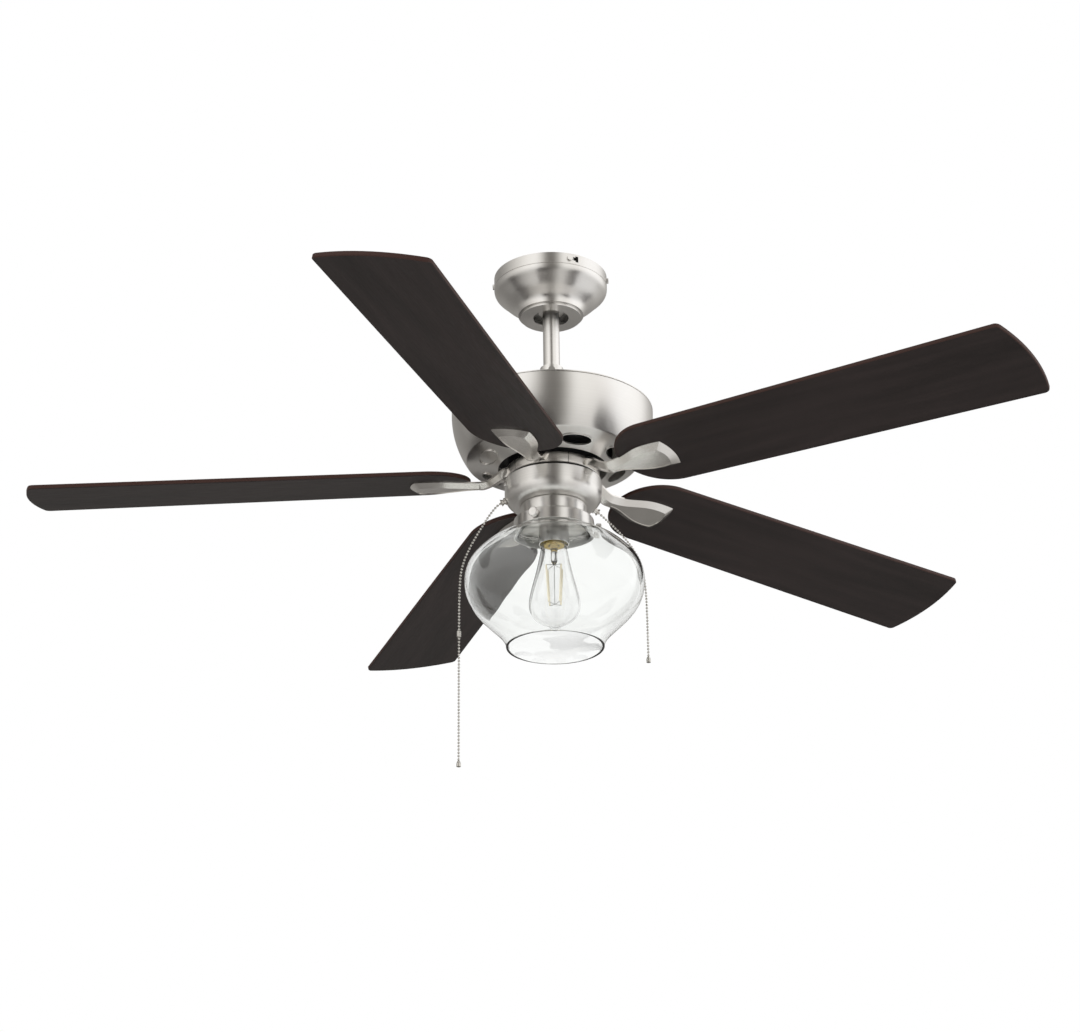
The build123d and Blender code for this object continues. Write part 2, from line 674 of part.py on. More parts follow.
def blade_iron():
    """The iron at azimuth 0: a fifth of the hub ring, a falling arm and a bevelled leaf."""
    arc = 360.0 / IRON_COUNT - 2 * Vector(RING_R, RING_SEAM / 2).get_angle(Vector(1, 0))
    middle = (RING_R + RING_BORE_R) / 2
    section = Pos(middle, (RING_TOP_Z + RING_FOOT_Z) / 2) * Rectangle(
        RING_R - RING_BORE_R, RING_HEIGHT
    )
    section = chamfer(section.vertices().group_by(Axis.X)[-1], RING_EDGE)
    ring = Rot(Z=-arc / 2) * revolve(Plane.XZ * section, Axis.Z, revolution_arc=arc)
    root_half, root_panel = LEAF_SIDE[0][1], LEAF_SIDE[0][1] - LEAF_BEVEL
    top_z = RING_TOP_Z - 1.5
    leaf_z = BLADE_Z - LEAF_BACK * tan(radians(BLADE_DROOP))
    fall = top_z - leaf_z
    reach = LEAF_BACK - RING_R
    sections = [
        Pos(RING_R - 9, 0, top_z) * arm_section(13.0, 10.5, 3.0, 12.0),
        Pos(RING_R + 0.08 * reach, 0, top_z - 0.06 * fall) * Rot(Y=18) * Rot(X=-1.5)
        * arm_section(12.4, 9.0, 3.0, 10.6),
        Pos(RING_R + 0.42 * reach, 0, top_z - 0.5 * fall) * Rot(Y=38) * Rot(X=-5)
        * arm_section(11.4, 6.0, 2.4, 8.6),
        Pos(RING_R + 0.74 * reach, 0, top_z - 0.92 * fall) * Rot(Y=14) * Rot(X=-9.5)
        * arm_section(11.2, 4.4, LEAF_EDGE, LEAF_DEPTH),
        blade_place() * Pos(LEAF_BACK, 0, 0)
        * arm_section(root_half, root_panel, LEAF_EDGE, LEAF_DEPTH),
    ]
    arm = loft(sections)
    outline = leaf_outline(0)
    rim = extrude(outline, -LEAF_EDGE)
    bevel = loft([Pos(0, 0, -LEAF_EDGE) * outline, Pos(0, 0, -LEAF_DEPTH) * leaf_outline(LEAF_BEVEL)],
                 ruled=True)
    iron = ring + arm + blade_place() * (rim + bevel)
    panel = extrude(leaf_outline(LEAF_BEVEL + LEAF_STEP), LEAF_STEP_DEPTH)
    iron -= blade_place() * Pos(0, 0, -LEAF_DEPTH) * panel
    iron &= Pos(0, 0, RING_TOP_Z) * Cylinder(2 * LEAF_END, LEAF_END, align=DOWN)
    through = Cylinder(IRON_SCREW_R + FIT, 4 * RING_HEIGHT)
    sunk = Cylinder(IRON_SCREW_HEAD_R + 0.3, IRON_SCREW_HEAD + FIT, align=UP)
    for turn in (-IRON_SCREW_TURN, IRON_SCREW_TURN):
        place = Rot(Z=turn) * Pos(IRON_SCREW_CIRCLE, 0, RING_FOOT_Z)
        iron -= place * through
        iron -= place * sunk
    tapped = Cylinder(BLADE_SCREW_R + FIT, BLADE_SCREW_BITE + 0.5, align=DOWN)
    for s, t in BLADE_SCREWS:
        iron -= blade_place() * Pos(s, t, 0) * tapped
    return iron


def iron_screws():
    one = screw(IRON_SCREW_HEAD_R, IRON_SCREW_HEAD, IRON_SCREW_R, IRON_SCREW_LENGTH)
    place_z = RING_FOOT_Z + IRON_SCREW_HEAD
    turned_over = Rot(X=180)
    return group([
        Rot(Z=a) * Pos(IRON_SCREW_CIRCLE, 0, place_z) * turned_over * one
        for a in iron_screw_azimuths()
    ])


def blade():
    """A blade at azimuth 0: a round root that flares to a bowed tip."""
    root_s = BLADE_ROOT_R + BLADE_ROOT_HALF
    tip_s = BLADE_TIP_R - BLADE_TIP_BULGE
    root = ThreePointArc((root_s, -BLADE_ROOT_HALF), (BLADE_ROOT_R, 0), (root_s, BLADE_ROOT_HALF))
    upper = Line((root_s, BLADE_ROOT_HALF), (tip_s, BLADE_TIP_HALF))
    tip = ThreePointArc((tip_s, BLADE_TIP_HALF), (BLADE_TIP_R, 0), (tip_s, -BLADE_TIP_HALF))
    lower = Line((tip_s, -BLADE_TIP_HALF), (root_s, -BLADE_ROOT_HALF))
    face = make_face((root + upper + tip + lower).edges())
    face = fillet(face.vertices().group_by(Axis.X)[-1], BLADE_CORNER_R)
    board = extrude(face, BLADE_THICK)
    rims = board.faces().filter_by(Axis.Z)
    board = chamfer(rims.edges(), BLADE_EDGE)
    for s, t in BLADE_SCREWS:
        board -= Pos(s, t, 0) * Cylinder(BLADE_SCREW_R + 0.3, 4 * BLADE_THICK)
    return blade_place() * board


def blade_screws():
    one = screw(BLADE_SCREW_HEAD_R, BLADE_SCREW_HEAD, BLADE_SCREW_R, BLADE_THICK + BLADE_SCREW_BITE)
    return group([
        Rot(Z=a) * blade_place() * Pos(s, t, BLADE_THICK) * one
        for a in azimuths(IRON_COUNT, IRON_START)
        for s, t in BLADE_SCREWS
    ])


# ---- switch housing ----
def switch_plate():
    """The flanged plate on the shaft's foot that the switch housing screws to."""
    rim = CUP_R - SHEET - FIT
    outline = FilletPolyline(
        (SHAFT_R + FIT, CUP_TOP_Z), (rim, CUP_TOP_Z), (rim, CUP_TOP_Z - PLATE_FLANGE), radius=2.0
    )
    plate = spun(outline, SHEET)
    for azimuth in azimuths(3, CUP_SCREW_START):
        plate -= radial(azimuth, rim, CUP_TOP_Z - CUP_SCREW_DROP) * Cylinder(CUP_SCREW_R + FIT, 12)
    return plate


def shaft_nut():
    hexagon = RegularPolygon(NUT_R, 6) - Circle(SHAFT_R + FIT)
    return Pos(0, 0, CUP_TOP_Z - SHEET) * extrude(hexagon, -NUT_HEIGHT)


def mouth_wall_r():
    return CUP_R - CUP_CURVE_R + CUP_CURVE_R * cos(radians(MOUTH_TILT))


def mouth_place(name):
    """Where a chain's mouth leaves the round of the switch housing, looking outward."""
    z = CUP_BEND_Z - CUP_CURVE_R * sin(radians(MOUTH_TILT))
    return radial(MOUTH_AZIMUTHS[name], mouth_wall_r(), z, MOUTH_TILT)


def reverse_place():
    return radial(REVERSE_AZIMUTH, CUP_R, CUP_TOP_Z - REVERSE_DROP)


def switch_housing():
    """The spun cup under the blades: a straight band that curves in to the light's neck."""
    band = Line((CUP_R, CUP_TOP_Z), (CUP_R, CUP_BEND_Z))
    curve = TangentArc((CUP_R, CUP_BEND_Z), (CUP_R - CUP_CURVE_R, CUP_FOOT_Z), tangent=(0, -1))
    floor = Line((CUP_R - CUP_CURVE_R, CUP_FOOT_Z), (CUP_MOUTH_R, CUP_FOOT_Z))
    cup = spun(band + curve + floor, SHEET)
    for azimuth in azimuths(3, CUP_SCREW_START):
        cup -= radial(azimuth, CUP_R, CUP_TOP_Z - CUP_SCREW_DROP) * Cylinder(CUP_SCREW_R + FIT, 8)
    for name in MOUTH_AZIMUTHS:
        cup -= mouth_place(name) * Cylinder(MOUTH_R + FIT, 8)
    slot_height = REVERSE_KEY[1] + REVERSE_TRAVEL + 2 * REVERSE_END_GAP
    cup -= reverse_place() * Box(slot_height, REVERSE_KEY[0] + 2 * REVERSE_SIDE_GAP, 8)
    return cup


def switch_housing_screws():
    one = screw(CUP_SCREW_HEAD_R, CUP_SCREW_HEAD, CUP_SCREW_R, 6.0)
    drop_z = CUP_TOP_Z - CUP_SCREW_DROP
    places = [radial(a, CUP_R + FIT, drop_z) for a in azimuths(3, CUP_SCREW_START)]
    return group([place * one for place in places])


def chain_mouth(name):
    """The bell on the wall that a pull chain runs out of."""
    bell = turned(
        (MOUTH_BORE_R, 0.2),
        (MOUTH_BELL_R, 0.2),
        (MOUTH_BELL_R, 1.8),
        (MOUTH_R, 2.2),
        (MOUTH_R, MOUTH_LENGTH - 2.6),
        (MOUTH_BELL_R, MOUTH_LENGTH),
        (MOUTH_BELL_R - 0.9, MOUTH_LENGTH),
        (MOUTH_BORE_R, MOUTH_LENGTH - 2.6),
    )
    return mouth_place(name) * bell


def pull_switch(name):
    """A pull-chain switch: its case inside the cup and its threaded neck through the wall."""
    length, width, height = SWITCH_BODY
    neck = tube(MOUTH_R, MOUTH_BORE_R, 0.1, -SWITCH_NECK)
    case = Pos(0, 0, -SWITCH_NECK) * Box(height, width, length, align=DOWN)
    case = fillet(case.edges().filter_by(Axis.Z), 2.5)
    return mouth_place(name) * (neck + case)


def reverse_switch():
    """The two-way switch behind the slot in the cup's back."""
    depth = 11.0
    case = Box(16.0, 20.0, depth, align=DOWN)
    return reverse_place() * Pos(0, 0, -SHEET - 3.0) * case


def reverse_slider():
    """The thumb slider that sets the way the fan turns. It stands in the slot."""
    width, height = REVERSE_KEY
    foot = Box(height, width, 4.6, align=UP)
    grip = Pos(0, 0, 4.6) * Box(height / 2, width, 1.6, align=UP)
    return reverse_place() * Pos(-REVERSE_TRAVEL / 2, 0, -SHEET - 2.7) * (foot + grip)


def capacitor():
    case = fillet(Box(34.0, 18.0, 22.0).edges().filter_by(Axis.Z), 3.0)
    return Rot(Z=-75) * Pos(34, 0, CUP_TOP_Z - SHEET - FIT - 11.0) * Rot(Z=90) * case


# ---- light kit ----
def neck_cap():
    """The short drum between the switch housing and the glass fitter."""
    outline = FilletPolyline(
        (NIPPLE_R + FIT, CUP_FOOT_Z), (NECK_R, CUP_FOOT_Z), (NECK_R, NECK_FOOT_Z), radius=1.8
    )
    return spun(outline, SHEET)


def thumb_wall_r():
    return FITTER_TOP_R + (FITTER_R - FITTER_TOP_R) * THUMB_DROP / FITTER_HEIGHT


def thumb_place(azimuth):
    return radial(azimuth, thumb_wall_r(), NECK_FOOT_Z - THUMB_DROP)


def glass_fitter():
    """The flared pan that holds the glass by three thumb screws."""
    outline = FilletPolyline(
        (NIPPLE_R + FIT, NECK_FOOT_Z),
        (FITTER_TOP_R, NECK_FOOT_Z),
        (FITTER_R, FITTER_FOOT_Z),
        radius=FITTER_ROUND,
    )
    pan = spun(outline, FITTER_SHEET)
    for azimuth in azimuths(THUMB_COUNT, THUMB_START):
        pan -= thumb_place(azimuth) * Cylinder(THUMB_SHANK_R + FIT, 10)
    return pan


def thumb_screw(azimuth):
    """A round-headed thumb screw whose tip stops just short of the glass neck."""
    reach = thumb_wall_r() - GLASS_NECK_R - RUN_GAP
    head = Pos(0, 0, THUMB_STANDOFF) * Cylinder(THUMB_HEAD_R, THUMB_HEAD, align=UP)
    head = fillet(head.edges().filter_by(GeomType.CIRCLE), 1.2)
    shank = Pos(0, 0, THUMB_STANDOFF) * Cylinder(THUMB_SHANK_R, THUMB_STANDOFF + reach, align=DOWN)
    return thumb_place(azimuth) * (head + shank)


def light_nipple():
    """The threaded tube that ties cup, neck, fitter and socket together."""
    foot_z = SOCKET_TOP_Z - SOCKET_WALL
    nut = extrude(RegularPolygon(9.0, 6) - Circle(NIPPLE_R - 0.5), 4.0)
    rod = tube(NIPPLE_R, NIPPLE_BORE_R, CUP_FOOT_Z + NIPPLE_ABOVE, foot_z)
    return rod + Pos(0, 0, CUP_FOOT_Z + 0.05) * nut


def lamp_socket():
    """The plain metal sleeve round the screw shell."""
    outline = FilletPolyline(
        (NIPPLE_R + FIT, SOCKET_TOP_Z), (SOCKET_R, SOCKET_TOP_Z), (SOCKET_R, SOCKET_FOOT_Z), radius=2.0
    )
    return spun(outline, SOCKET_WALL)


def socket_shell():
    """The insulated core and the screw shell that take the lamp."""
    core_r = SOCKET_R - SOCKET_WALL - FIT
    top_z = SOCKET_TOP_Z - SOCKET_WALL - 0.1
    roof_z = LAMP_TOP_Z + 0.3
    return turned(
        (0, top_z),
        (core_r - 2, top_z),
        (core_r, top_z - 2),
        (core_r, SOCKET_FOOT_Z + 6),
        (SHELL_R, SOCKET_FOOT_Z + 6),
        (SHELL_R, SOCKET_FOOT_Z + 1.2),
        (SHELL_R - SHELL_WALL, SOCKET_FOOT_Z + 1.2),
        (SHELL_R - SHELL_WALL, roof_z),
        (0, roof_z),
    )


def lamp_base():
    """The screw cap of the lamp."""
    return turned(
        (0, LAMP_TOP_Z),
        (4.6, LAMP_TOP_Z),
        (5.2, LAMP_TOP_Z - 1.6),
        (LAMP_BASE_R - 2, LAMP_TOP_Z - 4.2),
        (LAMP_BASE_R, LAMP_TOP_Z - 6.0),
        (LAMP_BASE_R, LAMP_GLASS_Z),
        (0, LAMP_GLASS_Z),
    )


def lamp_glass():
    """The pear-shaped clear envelope, thin and open at the cap."""
    tip_z = LAMP_GLASS_Z - LAMP_LENGTH
    belly_z = LAMP_GLASS_Z - LAMP_BELLY
    neck = Line((LAMP_BASE_R + 0.6, LAMP_GLASS_Z), (LAMP_BASE_R + 0.8, LAMP_GLASS_Z - 6))
    body = Spline(
        neck @ 1,
        (LAMP_R - 9.4, LAMP_GLASS_Z - LAMP_BELLY * 0.48),
        (LAMP_R, belly_z),
        (LAMP_R * 0.62, tip_z + 11),
        (0, tip_z),
        tangents=[neck % 1, (-1, 0)],
    )
    return blown([neck, body], LAMP_WALL)


def lamp_filament():
    """The glass stem and the four long filaments round it."""
    top_z = LAMP_GLASS_Z - 0.3
    high_z = LAMP_GLASS_Z - STEM_DROP
    low_z = LAMP_GLASS_Z - MAST_DROP
    stem = turned((0, top_z), (9.0, top_z), (4.0, top_z - 8), (3.0, high_z), (0, high_z))
    mast = Pos(0, 0, low_z) * Cylinder(0.8, high_z - low_z, align=UP)
    lamp = stem + mast
    for azimuth in azimuths(4, 45):
        stick = Polyline((4.6, high_z - 2), (9.4, low_z + 2))
        arm_high = Polyline((0, high_z + 1), stick @ 0)
        arm_low = Polyline((0, low_z + 0.8), stick @ 1)
        for line, radius in ((stick, 0.9), (arm_high, 0.5), (arm_low, 0.5)):
            path = Plane.XZ * line
            start = Plane(origin=path @ 0, z_dir=path % 0)
            lamp += Rot(Z=azimuth) * extrude(start * Circle(radius), line.length)
    return lamp


def glass_shade():
    """The blown clear shade: a beaded neck, a wide belly and an open, narrower mouth."""
    def drop(point):
        return (point[0], NECK_FOOT_Z + point[1])

    neck_foot = (GLASS_NECK_R, FITTER_FOOT_Z - 0.4)
    neck = Line((GLASS_NECK_R, GLASS_TOP_Z), neck_foot)
    bead_width = 2 * (GLASS_BEAD_R - GLASS_NECK_R)
    bead = Pos(GLASS_NECK_R, GLASS_TOP_Z - GLASS_BEAD / 2) * SlotOverall(bead_width, GLASS_BEAD)
    shoulder = Spline(
        neck_foot, *[drop(p) for p in GLASS_SHOULDER], drop(GLASS_BELLY),
        tangents=[(1, -0.75), (0, -1)],
    )
    skirt = Spline(
        drop(GLASS_BELLY), *[drop(p) for p in GLASS_WAIST], drop(GLASS_MOUTH),
        tangents=[(0, -1), (-0.05, -1)],
    )
    shade = blown([neck, shoulder, skirt], GLASS_WALL)
    return shade + revolve(Plane.XZ * bead, Axis.Z)


# ---- pull chains ----
def chain_path(points):
    """Straight runs joined by the largest arcs that the runs on either side allow."""
    corners = [Vector(*p) for p in points]
    radii = []
    for before, at, after in zip(corners, corners[1:], corners[2:]):
        run_in, run_out = at - before, after - at
        half_turn = radians(run_in.get_angle(run_out)) / 2
        radii.append(0.45 * min(run_in.length, run_out.length) / tan(half_turn))
    print("chain radii", [round(r, 1) for r in radii])
    return FilletPolyline(*points, radius=radii)


def chain(points):
    path = chain_path(points)
    start = Plane(origin=path @ 0, z_dir=path % 0)
    cord = sweep(start * Circle(CHAIN_R), path=path)
    print("chain length", round(path.length, 1), "volume / section", round(cord.volume / path.length, 3))
    return cord


def fob(top):
    """The small bell crimped on the end of a chain, under a point."""
    x, y, z = top
    bell = turned(
        (0, 0), (FOB_R * 0.6, 0), (FOB_R, -FOB_LENGTH * 0.4), (FOB_R, -FOB_LENGTH + 1), (0, -FOB_LENGTH)
    )
    return Pos(x, y, z) * bell


def chain_join():
    """The coupling between the switch's own chain and its extension."""
    x, y, z = FAN_CHAIN[-1]
    sleeve = Cylinder(FOB_R, CHAIN_JOIN_LENGTH, align=DOWN)
    return Pos(x, y, z) * chamfer(sleeve.edges(), 0.6)


def fan_chain_tail():
    x, y, z = FAN_CHAIN[-1]
    return Pos(x, y, z - CHAIN_JOIN_LENGTH) * Cylinder(CHAIN_R, FAN_CHAIN_TAIL, align=DOWN)


def fan_chain_fob():
    x, y, z = FAN_CHAIN[-1]
    return fob((x, y, z - CHAIN_JOIN_LENGTH - FAN_CHAIN_TAIL))


def parts():
    """Every node by name."""
    made = {
        "hanger_bracket": hanger_bracket(),
        "canopy": canopy(),
        "canopy_screws": canopy_screws(),
        "hanger_ball": hanger_ball(),
        "cross_pins": cross_pins(),
        "downrod": downrod(),
        "yoke": yoke(),
        "yoke_cover": yoke_cover(),
        "top_cover": top_cover(),
        "motor_housing": motor_housing(),
        "housing_screws": housing_screws(),
        "motor_shaft": motor_shaft(),
        "stator_core": stator_core(),
        "stator_windings": stator_windings(),
        "rotor_upper_shell": rotor_shell(top=True),
        "rotor_lower_shell": rotor_shell(top=False),
        "rotor_core": rotor_core(),
        "motor_bearings": motor_bearings(),
        "flywheel": flywheel(),
        "iron_screws": iron_screws(),
        "blade_screws": blade_screws(),
        "switch_plate": switch_plate(),
        "shaft_nut": shaft_nut(),
        "switch_housing": switch_housing(),
        "switch_housing_screws": switch_housing_screws(),
        "fan_switch": pull_switch("fan"),
        "light_switch": pull_switch("light"),
        "reverse_switch": reverse_switch(),
        "reverse_slider": reverse_slider(),
        "capacitor": capacitor(),
        "fan_chain_mouth": chain_mouth("fan"),
        "light_chain_mouth": chain_mouth("light"),
        "neck_cap": neck_cap(),
        "glass_fitter": glass_fitter(),
        "light_nipple": light_nipple(),
        "lamp_socket": lamp_socket(),
        "socket_shell": socket_shell(),
        "lamp_base": lamp_base(),
        "lamp_glass": lamp_glass(),
        "lamp_filament": lamp_filament(),
        "glass_shade": glass_shade(),
        "fan_chain": chain(FAN_CHAIN),
        "fan_chain_join": chain_join(),
        "fan_chain_tail": fan_chain_tail(),
        "fan_chain_fob": fan_chain_fob(),
        "light_chain": chain(LIGHT_CHAIN),
        "light_chain_fob": fob(LIGHT_CHAIN[-1]),
    }
    iron, board = blade_iron(), blade()
    for number, azimuth in enumerate(azimuths(IRON_COUNT, IRON_START), 1):
        made[f"blade_iron_{number}"] = Rot(Z=azimuth) * iron
        made[f"blade_{number}"] = Rot(Z=azimuth) * board
    for number, azimuth in enumerate(azimuths(THUMB_COUNT, THUMB_START), 1):
        made[f"thumb_screw_{number}"] = thumb_screw(azimuth)
    return made


os.makedirs("parts", exist_ok=True)
for node, shape in parts().items():
    export_step(shape, f"parts/{node}.step")
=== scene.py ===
"""A five-blade ceiling fan with a clear glass light, dressed around its CAD frame."""

import json
import math

import bpy
from mathutils import Matrix, Vector


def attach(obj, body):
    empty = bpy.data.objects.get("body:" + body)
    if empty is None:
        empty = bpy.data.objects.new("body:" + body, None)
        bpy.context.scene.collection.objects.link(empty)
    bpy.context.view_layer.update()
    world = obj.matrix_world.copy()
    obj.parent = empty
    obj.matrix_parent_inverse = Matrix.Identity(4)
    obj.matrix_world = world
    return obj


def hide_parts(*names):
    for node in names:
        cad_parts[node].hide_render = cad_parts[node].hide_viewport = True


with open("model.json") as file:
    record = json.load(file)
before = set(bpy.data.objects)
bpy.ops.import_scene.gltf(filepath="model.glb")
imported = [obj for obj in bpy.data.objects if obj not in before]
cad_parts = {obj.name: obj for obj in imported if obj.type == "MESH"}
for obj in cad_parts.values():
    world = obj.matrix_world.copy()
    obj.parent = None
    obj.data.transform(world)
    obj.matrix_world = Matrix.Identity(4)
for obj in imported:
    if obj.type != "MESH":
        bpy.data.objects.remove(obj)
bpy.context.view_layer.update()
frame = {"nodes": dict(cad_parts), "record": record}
nodes = frame["nodes"]
bpy.ops.object.select_all(action="DESELECT")

MM = 0.001

# ---- camera ----
EYE = Vector((0.0, -2.9662, -1.6162))
RIGHT = Vector((0.99989546, 0.01019963, -0.01024896)).normalized()
AHEAD = Vector((-0.00530863, 0.91826465, 0.39593163)).normalized()
ABOVE = RIGHT.cross(AHEAD).normalized()

lens = bpy.data.cameras.new("studio_camera")
lens.lens = 85.58
lens.sensor_width = 36.0
lens.sensor_fit = "HORIZONTAL"
lens.clip_end = 100.0
camera = bpy.data.objects.new("studio_camera", lens)
bpy.context.scene.collection.objects.link(camera)
camera.matrix_world = Matrix.Translation(EYE) @ Matrix(
    (RIGHT, ABOVE, -AHEAD)).transposed().to_4x4()
bpy.context.scene.camera = camera
bpy.context.scene.view_settings.view_transform = "Standard"


# ---- materials ----
# A Mix node's sockets by number: the pair for plain values, the pair for colours, and the
# output that carries the mixed colour.
FLOAT_A, FLOAT_B = 2, 3
COLOUR_A, COLOUR_B = 6, 7
MIXED_COLOUR = 2

# A Wave node repeats every WAVE / scale metres, because it turns 20 radians in each unit.
WAVE = math.pi / 10

# Noise keeps mostly between these two, so a pattern spreads them over its whole range.
NOISE_LOW, NOISE_HIGH = 0.35, 0.65


def linear(colour):
    """A hex colour, as a maker's chart gives it, in linear light."""
    parts = [int(colour[i:i + 2], 16) / 255 for i in (1, 3, 5)]
    straight = [p / 12.92 if p <= 0.04045 else ((p + 0.055) / 1.055) ** 2.4 for p in parts]
    return (*straight, 1.0)


def node(tree, kind, settings=None, inputs=None):
    """Adds a node. An input is a value, or an (other node, output) pair to link."""
    made = tree.nodes.new(kind)
    for key, value in (settings or {}).items():
        setattr(made, key, value)
    for key, value in (inputs or {}).items():
        if isinstance(value, tuple) and isinstance(value[0], bpy.types.Node):
            tree.links.new(value[0].outputs[value[1]], made.inputs[key])
        else:
            made.inputs[key].default_value = value
    return made


def material(name):
    """A node material and its empty tree."""
    made = bpy.data.materials.new(name)
    made.use_nodes = True
    made.node_tree.nodes.clear()
    return made, made.node_tree


def turned_nickel(name, light, dark, rough, scratch_mm, streak):
    """Satin nickel plate over steel that was brushed on a lathe. Its scratches run round the
    axis, so the light on it is drawn out along the axis, in soft upright bands. Real scratches
    are about 0.05 mm apart, and here they are as wide as scratch_mm to show. The polish drifts
    over a few centimetres. A streak of 1 would draw the light out the most."""
    polish_mm = 35
    spread = 0.03
    made, tree = material(name)
    place = node(tree, "ShaderNodeTexCoord")
    parts = node(tree, "ShaderNodeSeparateXYZ", None, {0: (place, "Object")})
    flat = node(tree, "ShaderNodeCombineXYZ", None, {"X": (parts, "X"), "Y": (parts, "Y")})
    radius = node(tree, "ShaderNodeVectorMath", {"operation": "LENGTH"}, {0: (flat, 0)})
    rings = node(tree, "ShaderNodeCombineXYZ", None, {"X": (radius, "Value"), "Y": (parts, "Z")})
    scratch = node(tree, "ShaderNodeTexNoise", None,
                   {"Vector": (rings, 0), "Scale": 1 / (scratch_mm * MM), "Detail": 3.0})
    polish = node(tree, "ShaderNodeTexNoise", None,
                  {"Vector": (place, "Object"), "Scale": 1 / (polish_mm * MM), "Detail": 3.0})
    worn = node(tree, "ShaderNodeMix", {"data_type": "FLOAT"},
                {"Factor": 0.35, FLOAT_A: (scratch, "Fac"), FLOAT_B: (polish, "Fac")})
    share = node(tree, "ShaderNodeMapRange", None,
                 {"Value": (worn, 0), "From Min": NOISE_LOW, "From Max": NOISE_HIGH})
    colour = node(tree, "ShaderNodeMix", {"data_type": "RGBA"},
                  {"Factor": (share, 0), COLOUR_A: linear(dark), COLOUR_B: linear(light)})
    gloss = node(tree, "ShaderNodeMapRange", None,
                 {"Value": (worn, 0), "From Min": NOISE_LOW, "From Max": NOISE_HIGH,
                  "To Min": rough - spread, "To Max": rough + spread})
    bump = node(tree, "ShaderNodeBump", None,
                {"Height": (scratch, "Fac"), "Strength": 0.02, "Distance": 0.1 * MM})
    around = node(tree, "ShaderNodeVectorMath", {"operation": "CROSS_PRODUCT"},
                  {0: (0.0, 0.0, 1.0), 1: (flat, 0)})
    shader = node(tree, "ShaderNodeBsdfPrincipled", None,
                  {"Base Color": (colour, MIXED_COLOUR), "Metallic": 1.0, "Roughness": (gloss, 0),
                   "Anisotropic": streak, "Anisotropic Rotation": 0.25,
                   "Tangent": (around, 0), "Normal": (bump, 0)})
    node(tree, "ShaderNodeOutputMaterial", None, {"Surface": (shader, 0)})
    return made


def plated_metal(name, light, dark, rough, grain_mm, depth):
    """Plate over a cast or stamped blank: an even fine grain, soft clouds where the plate is
    thinner, and blurred reflections with no direction. Depth is how strongly the grain is
    felt, from 0 to 1."""
    cloud_mm = 18
    made, tree = material(name)
    place = node(tree, "ShaderNodeTexCoord")
    grain = node(tree, "ShaderNodeTexNoise", None,
                 {"Vector": (place, "Object"), "Scale": 1 / (grain_mm * MM), "Detail": 3.0})
    clouds = node(tree, "ShaderNodeTexNoise", None,
                  {"Vector": (place, "Object"), "Scale": 1 / (cloud_mm * MM), "Detail": 3.0})
    worn = node(tree, "ShaderNodeMix", {"data_type": "FLOAT"},
                {"Factor": 0.5, FLOAT_A: (grain, "Fac"), FLOAT_B: (clouds, "Fac")})
    share = node(tree, "ShaderNodeMapRange", None,
                 {"Value": (worn, 0), "From Min": NOISE_LOW, "From Max": NOISE_HIGH})
    colour = node(tree, "ShaderNodeMix", {"data_type": "RGBA"},
                  {"Factor": (share, 0), COLOUR_A: linear(dark), COLOUR_B: linear(light)})
    gloss = node(tree, "ShaderNodeMapRange", None,
                 {"Value": (worn, 0), "From Min": NOISE_LOW, "From Max": NOISE_HIGH,
                  "To Min": rough - 0.04, "To Max": rough + 0.05})
    bump = node(tree, "ShaderNodeBump", None,
                {"Height": (grain, "Fac"), "Strength": depth, "Distance": 0.2 * MM})
    shader = node(tree, "ShaderNodeBsdfPrincipled", None,
                  {"Base Color": (colour, MIXED_COLOUR), "Metallic": 1.0, "Roughness": (gloss, 0),
                   "Normal": (bump, 0)})
    node(tree, "ShaderNodeOutputMaterial", None, {"Surface": (shader, 0)})
    return made


def stacked_steel(name, light, dark):
    """Electrical steel sheets stacked flat: thin dark lines between bright cut edges. Real
    sheets are 0.5 mm thick, and here a line comes every 1 mm to show."""
    sheet_mm = 1.005
    made, tree = material(name)
    place = node(tree, "ShaderNodeTexCoord")
    sheets = node(tree, "ShaderNodeTexWave", {"bands_direction": "Z"},
                  {"Vector": (place, "Object"), "Scale": WAVE / (sheet_mm * MM),
                   "Distortion": 0.3})
    colour = node(tree, "ShaderNodeMix", {"data_type": "RGBA"},
                  {"Factor": (sheets, "Fac"), COLOUR_A: linear(dark), COLOUR_B: linear(light)})
    bump = node(tree, "ShaderNodeBump", None,
                {"Height": (sheets, "Fac"), "Strength": 0.3, "Distance": 0.2 * MM})
    shader = node(tree, "ShaderNodeBsdfPrincipled", None,
                  {"Base Color": (colour, MIXED_COLOUR), "Metallic": 1.0, "Roughness": 0.5,
                   "Normal": (bump, 0)})
    node(tree, "ShaderNodeOutputMaterial", None, {"Surface": (shader, 0)})
    return made


def wound_wire(name, light, dark):
    """Enamelled copper wire in close turns: round ridges under clear amber enamel. The dark
    colour is painted shade in the grooves between the turns, and the light colour is the copper
    on their crests. Real wire is 0.6 mm thick, and here a turn comes every 1.2 mm to show."""
    turn_mm = 1.194
    made, tree = material(name)
    place = node(tree, "ShaderNodeTexCoord")
    turns_and_groove_shade = node(tree, "ShaderNodeTexWave", {"bands_direction": "Z"},
                 {"Vector": (place, "Object"), "Scale": WAVE / (turn_mm * MM),
                  "Distortion": 1.5, "Detail": 2.0})
    # The wave runs from painted shade in the grooves (dark) to the copper of the crests (light).
    colour = node(tree, "ShaderNodeMix", {"data_type": "RGBA"},
                  {"Factor": (turns_and_groove_shade, "Fac"), COLOUR_A: linear(dark), COLOUR_B: linear(light)})
    bump = node(tree, "ShaderNodeBump", None,
                {"Height": (turns_and_groove_shade, "Fac"), "Strength": 0.6, "Distance": 0.3 * MM})
    shader = node(tree, "ShaderNodeBsdfPrincipled", None,
                  {"Base Color": (colour, MIXED_COLOUR), "Metallic": 1.0, "Roughness": 0.3,
                   "Coat Weight": 0.6, "Coat Roughness": 0.15, "Normal": (bump, 0)})
    node(tree, "ShaderNodeOutputMaterial", None, {"Surface": (shader, 0)})
    return made


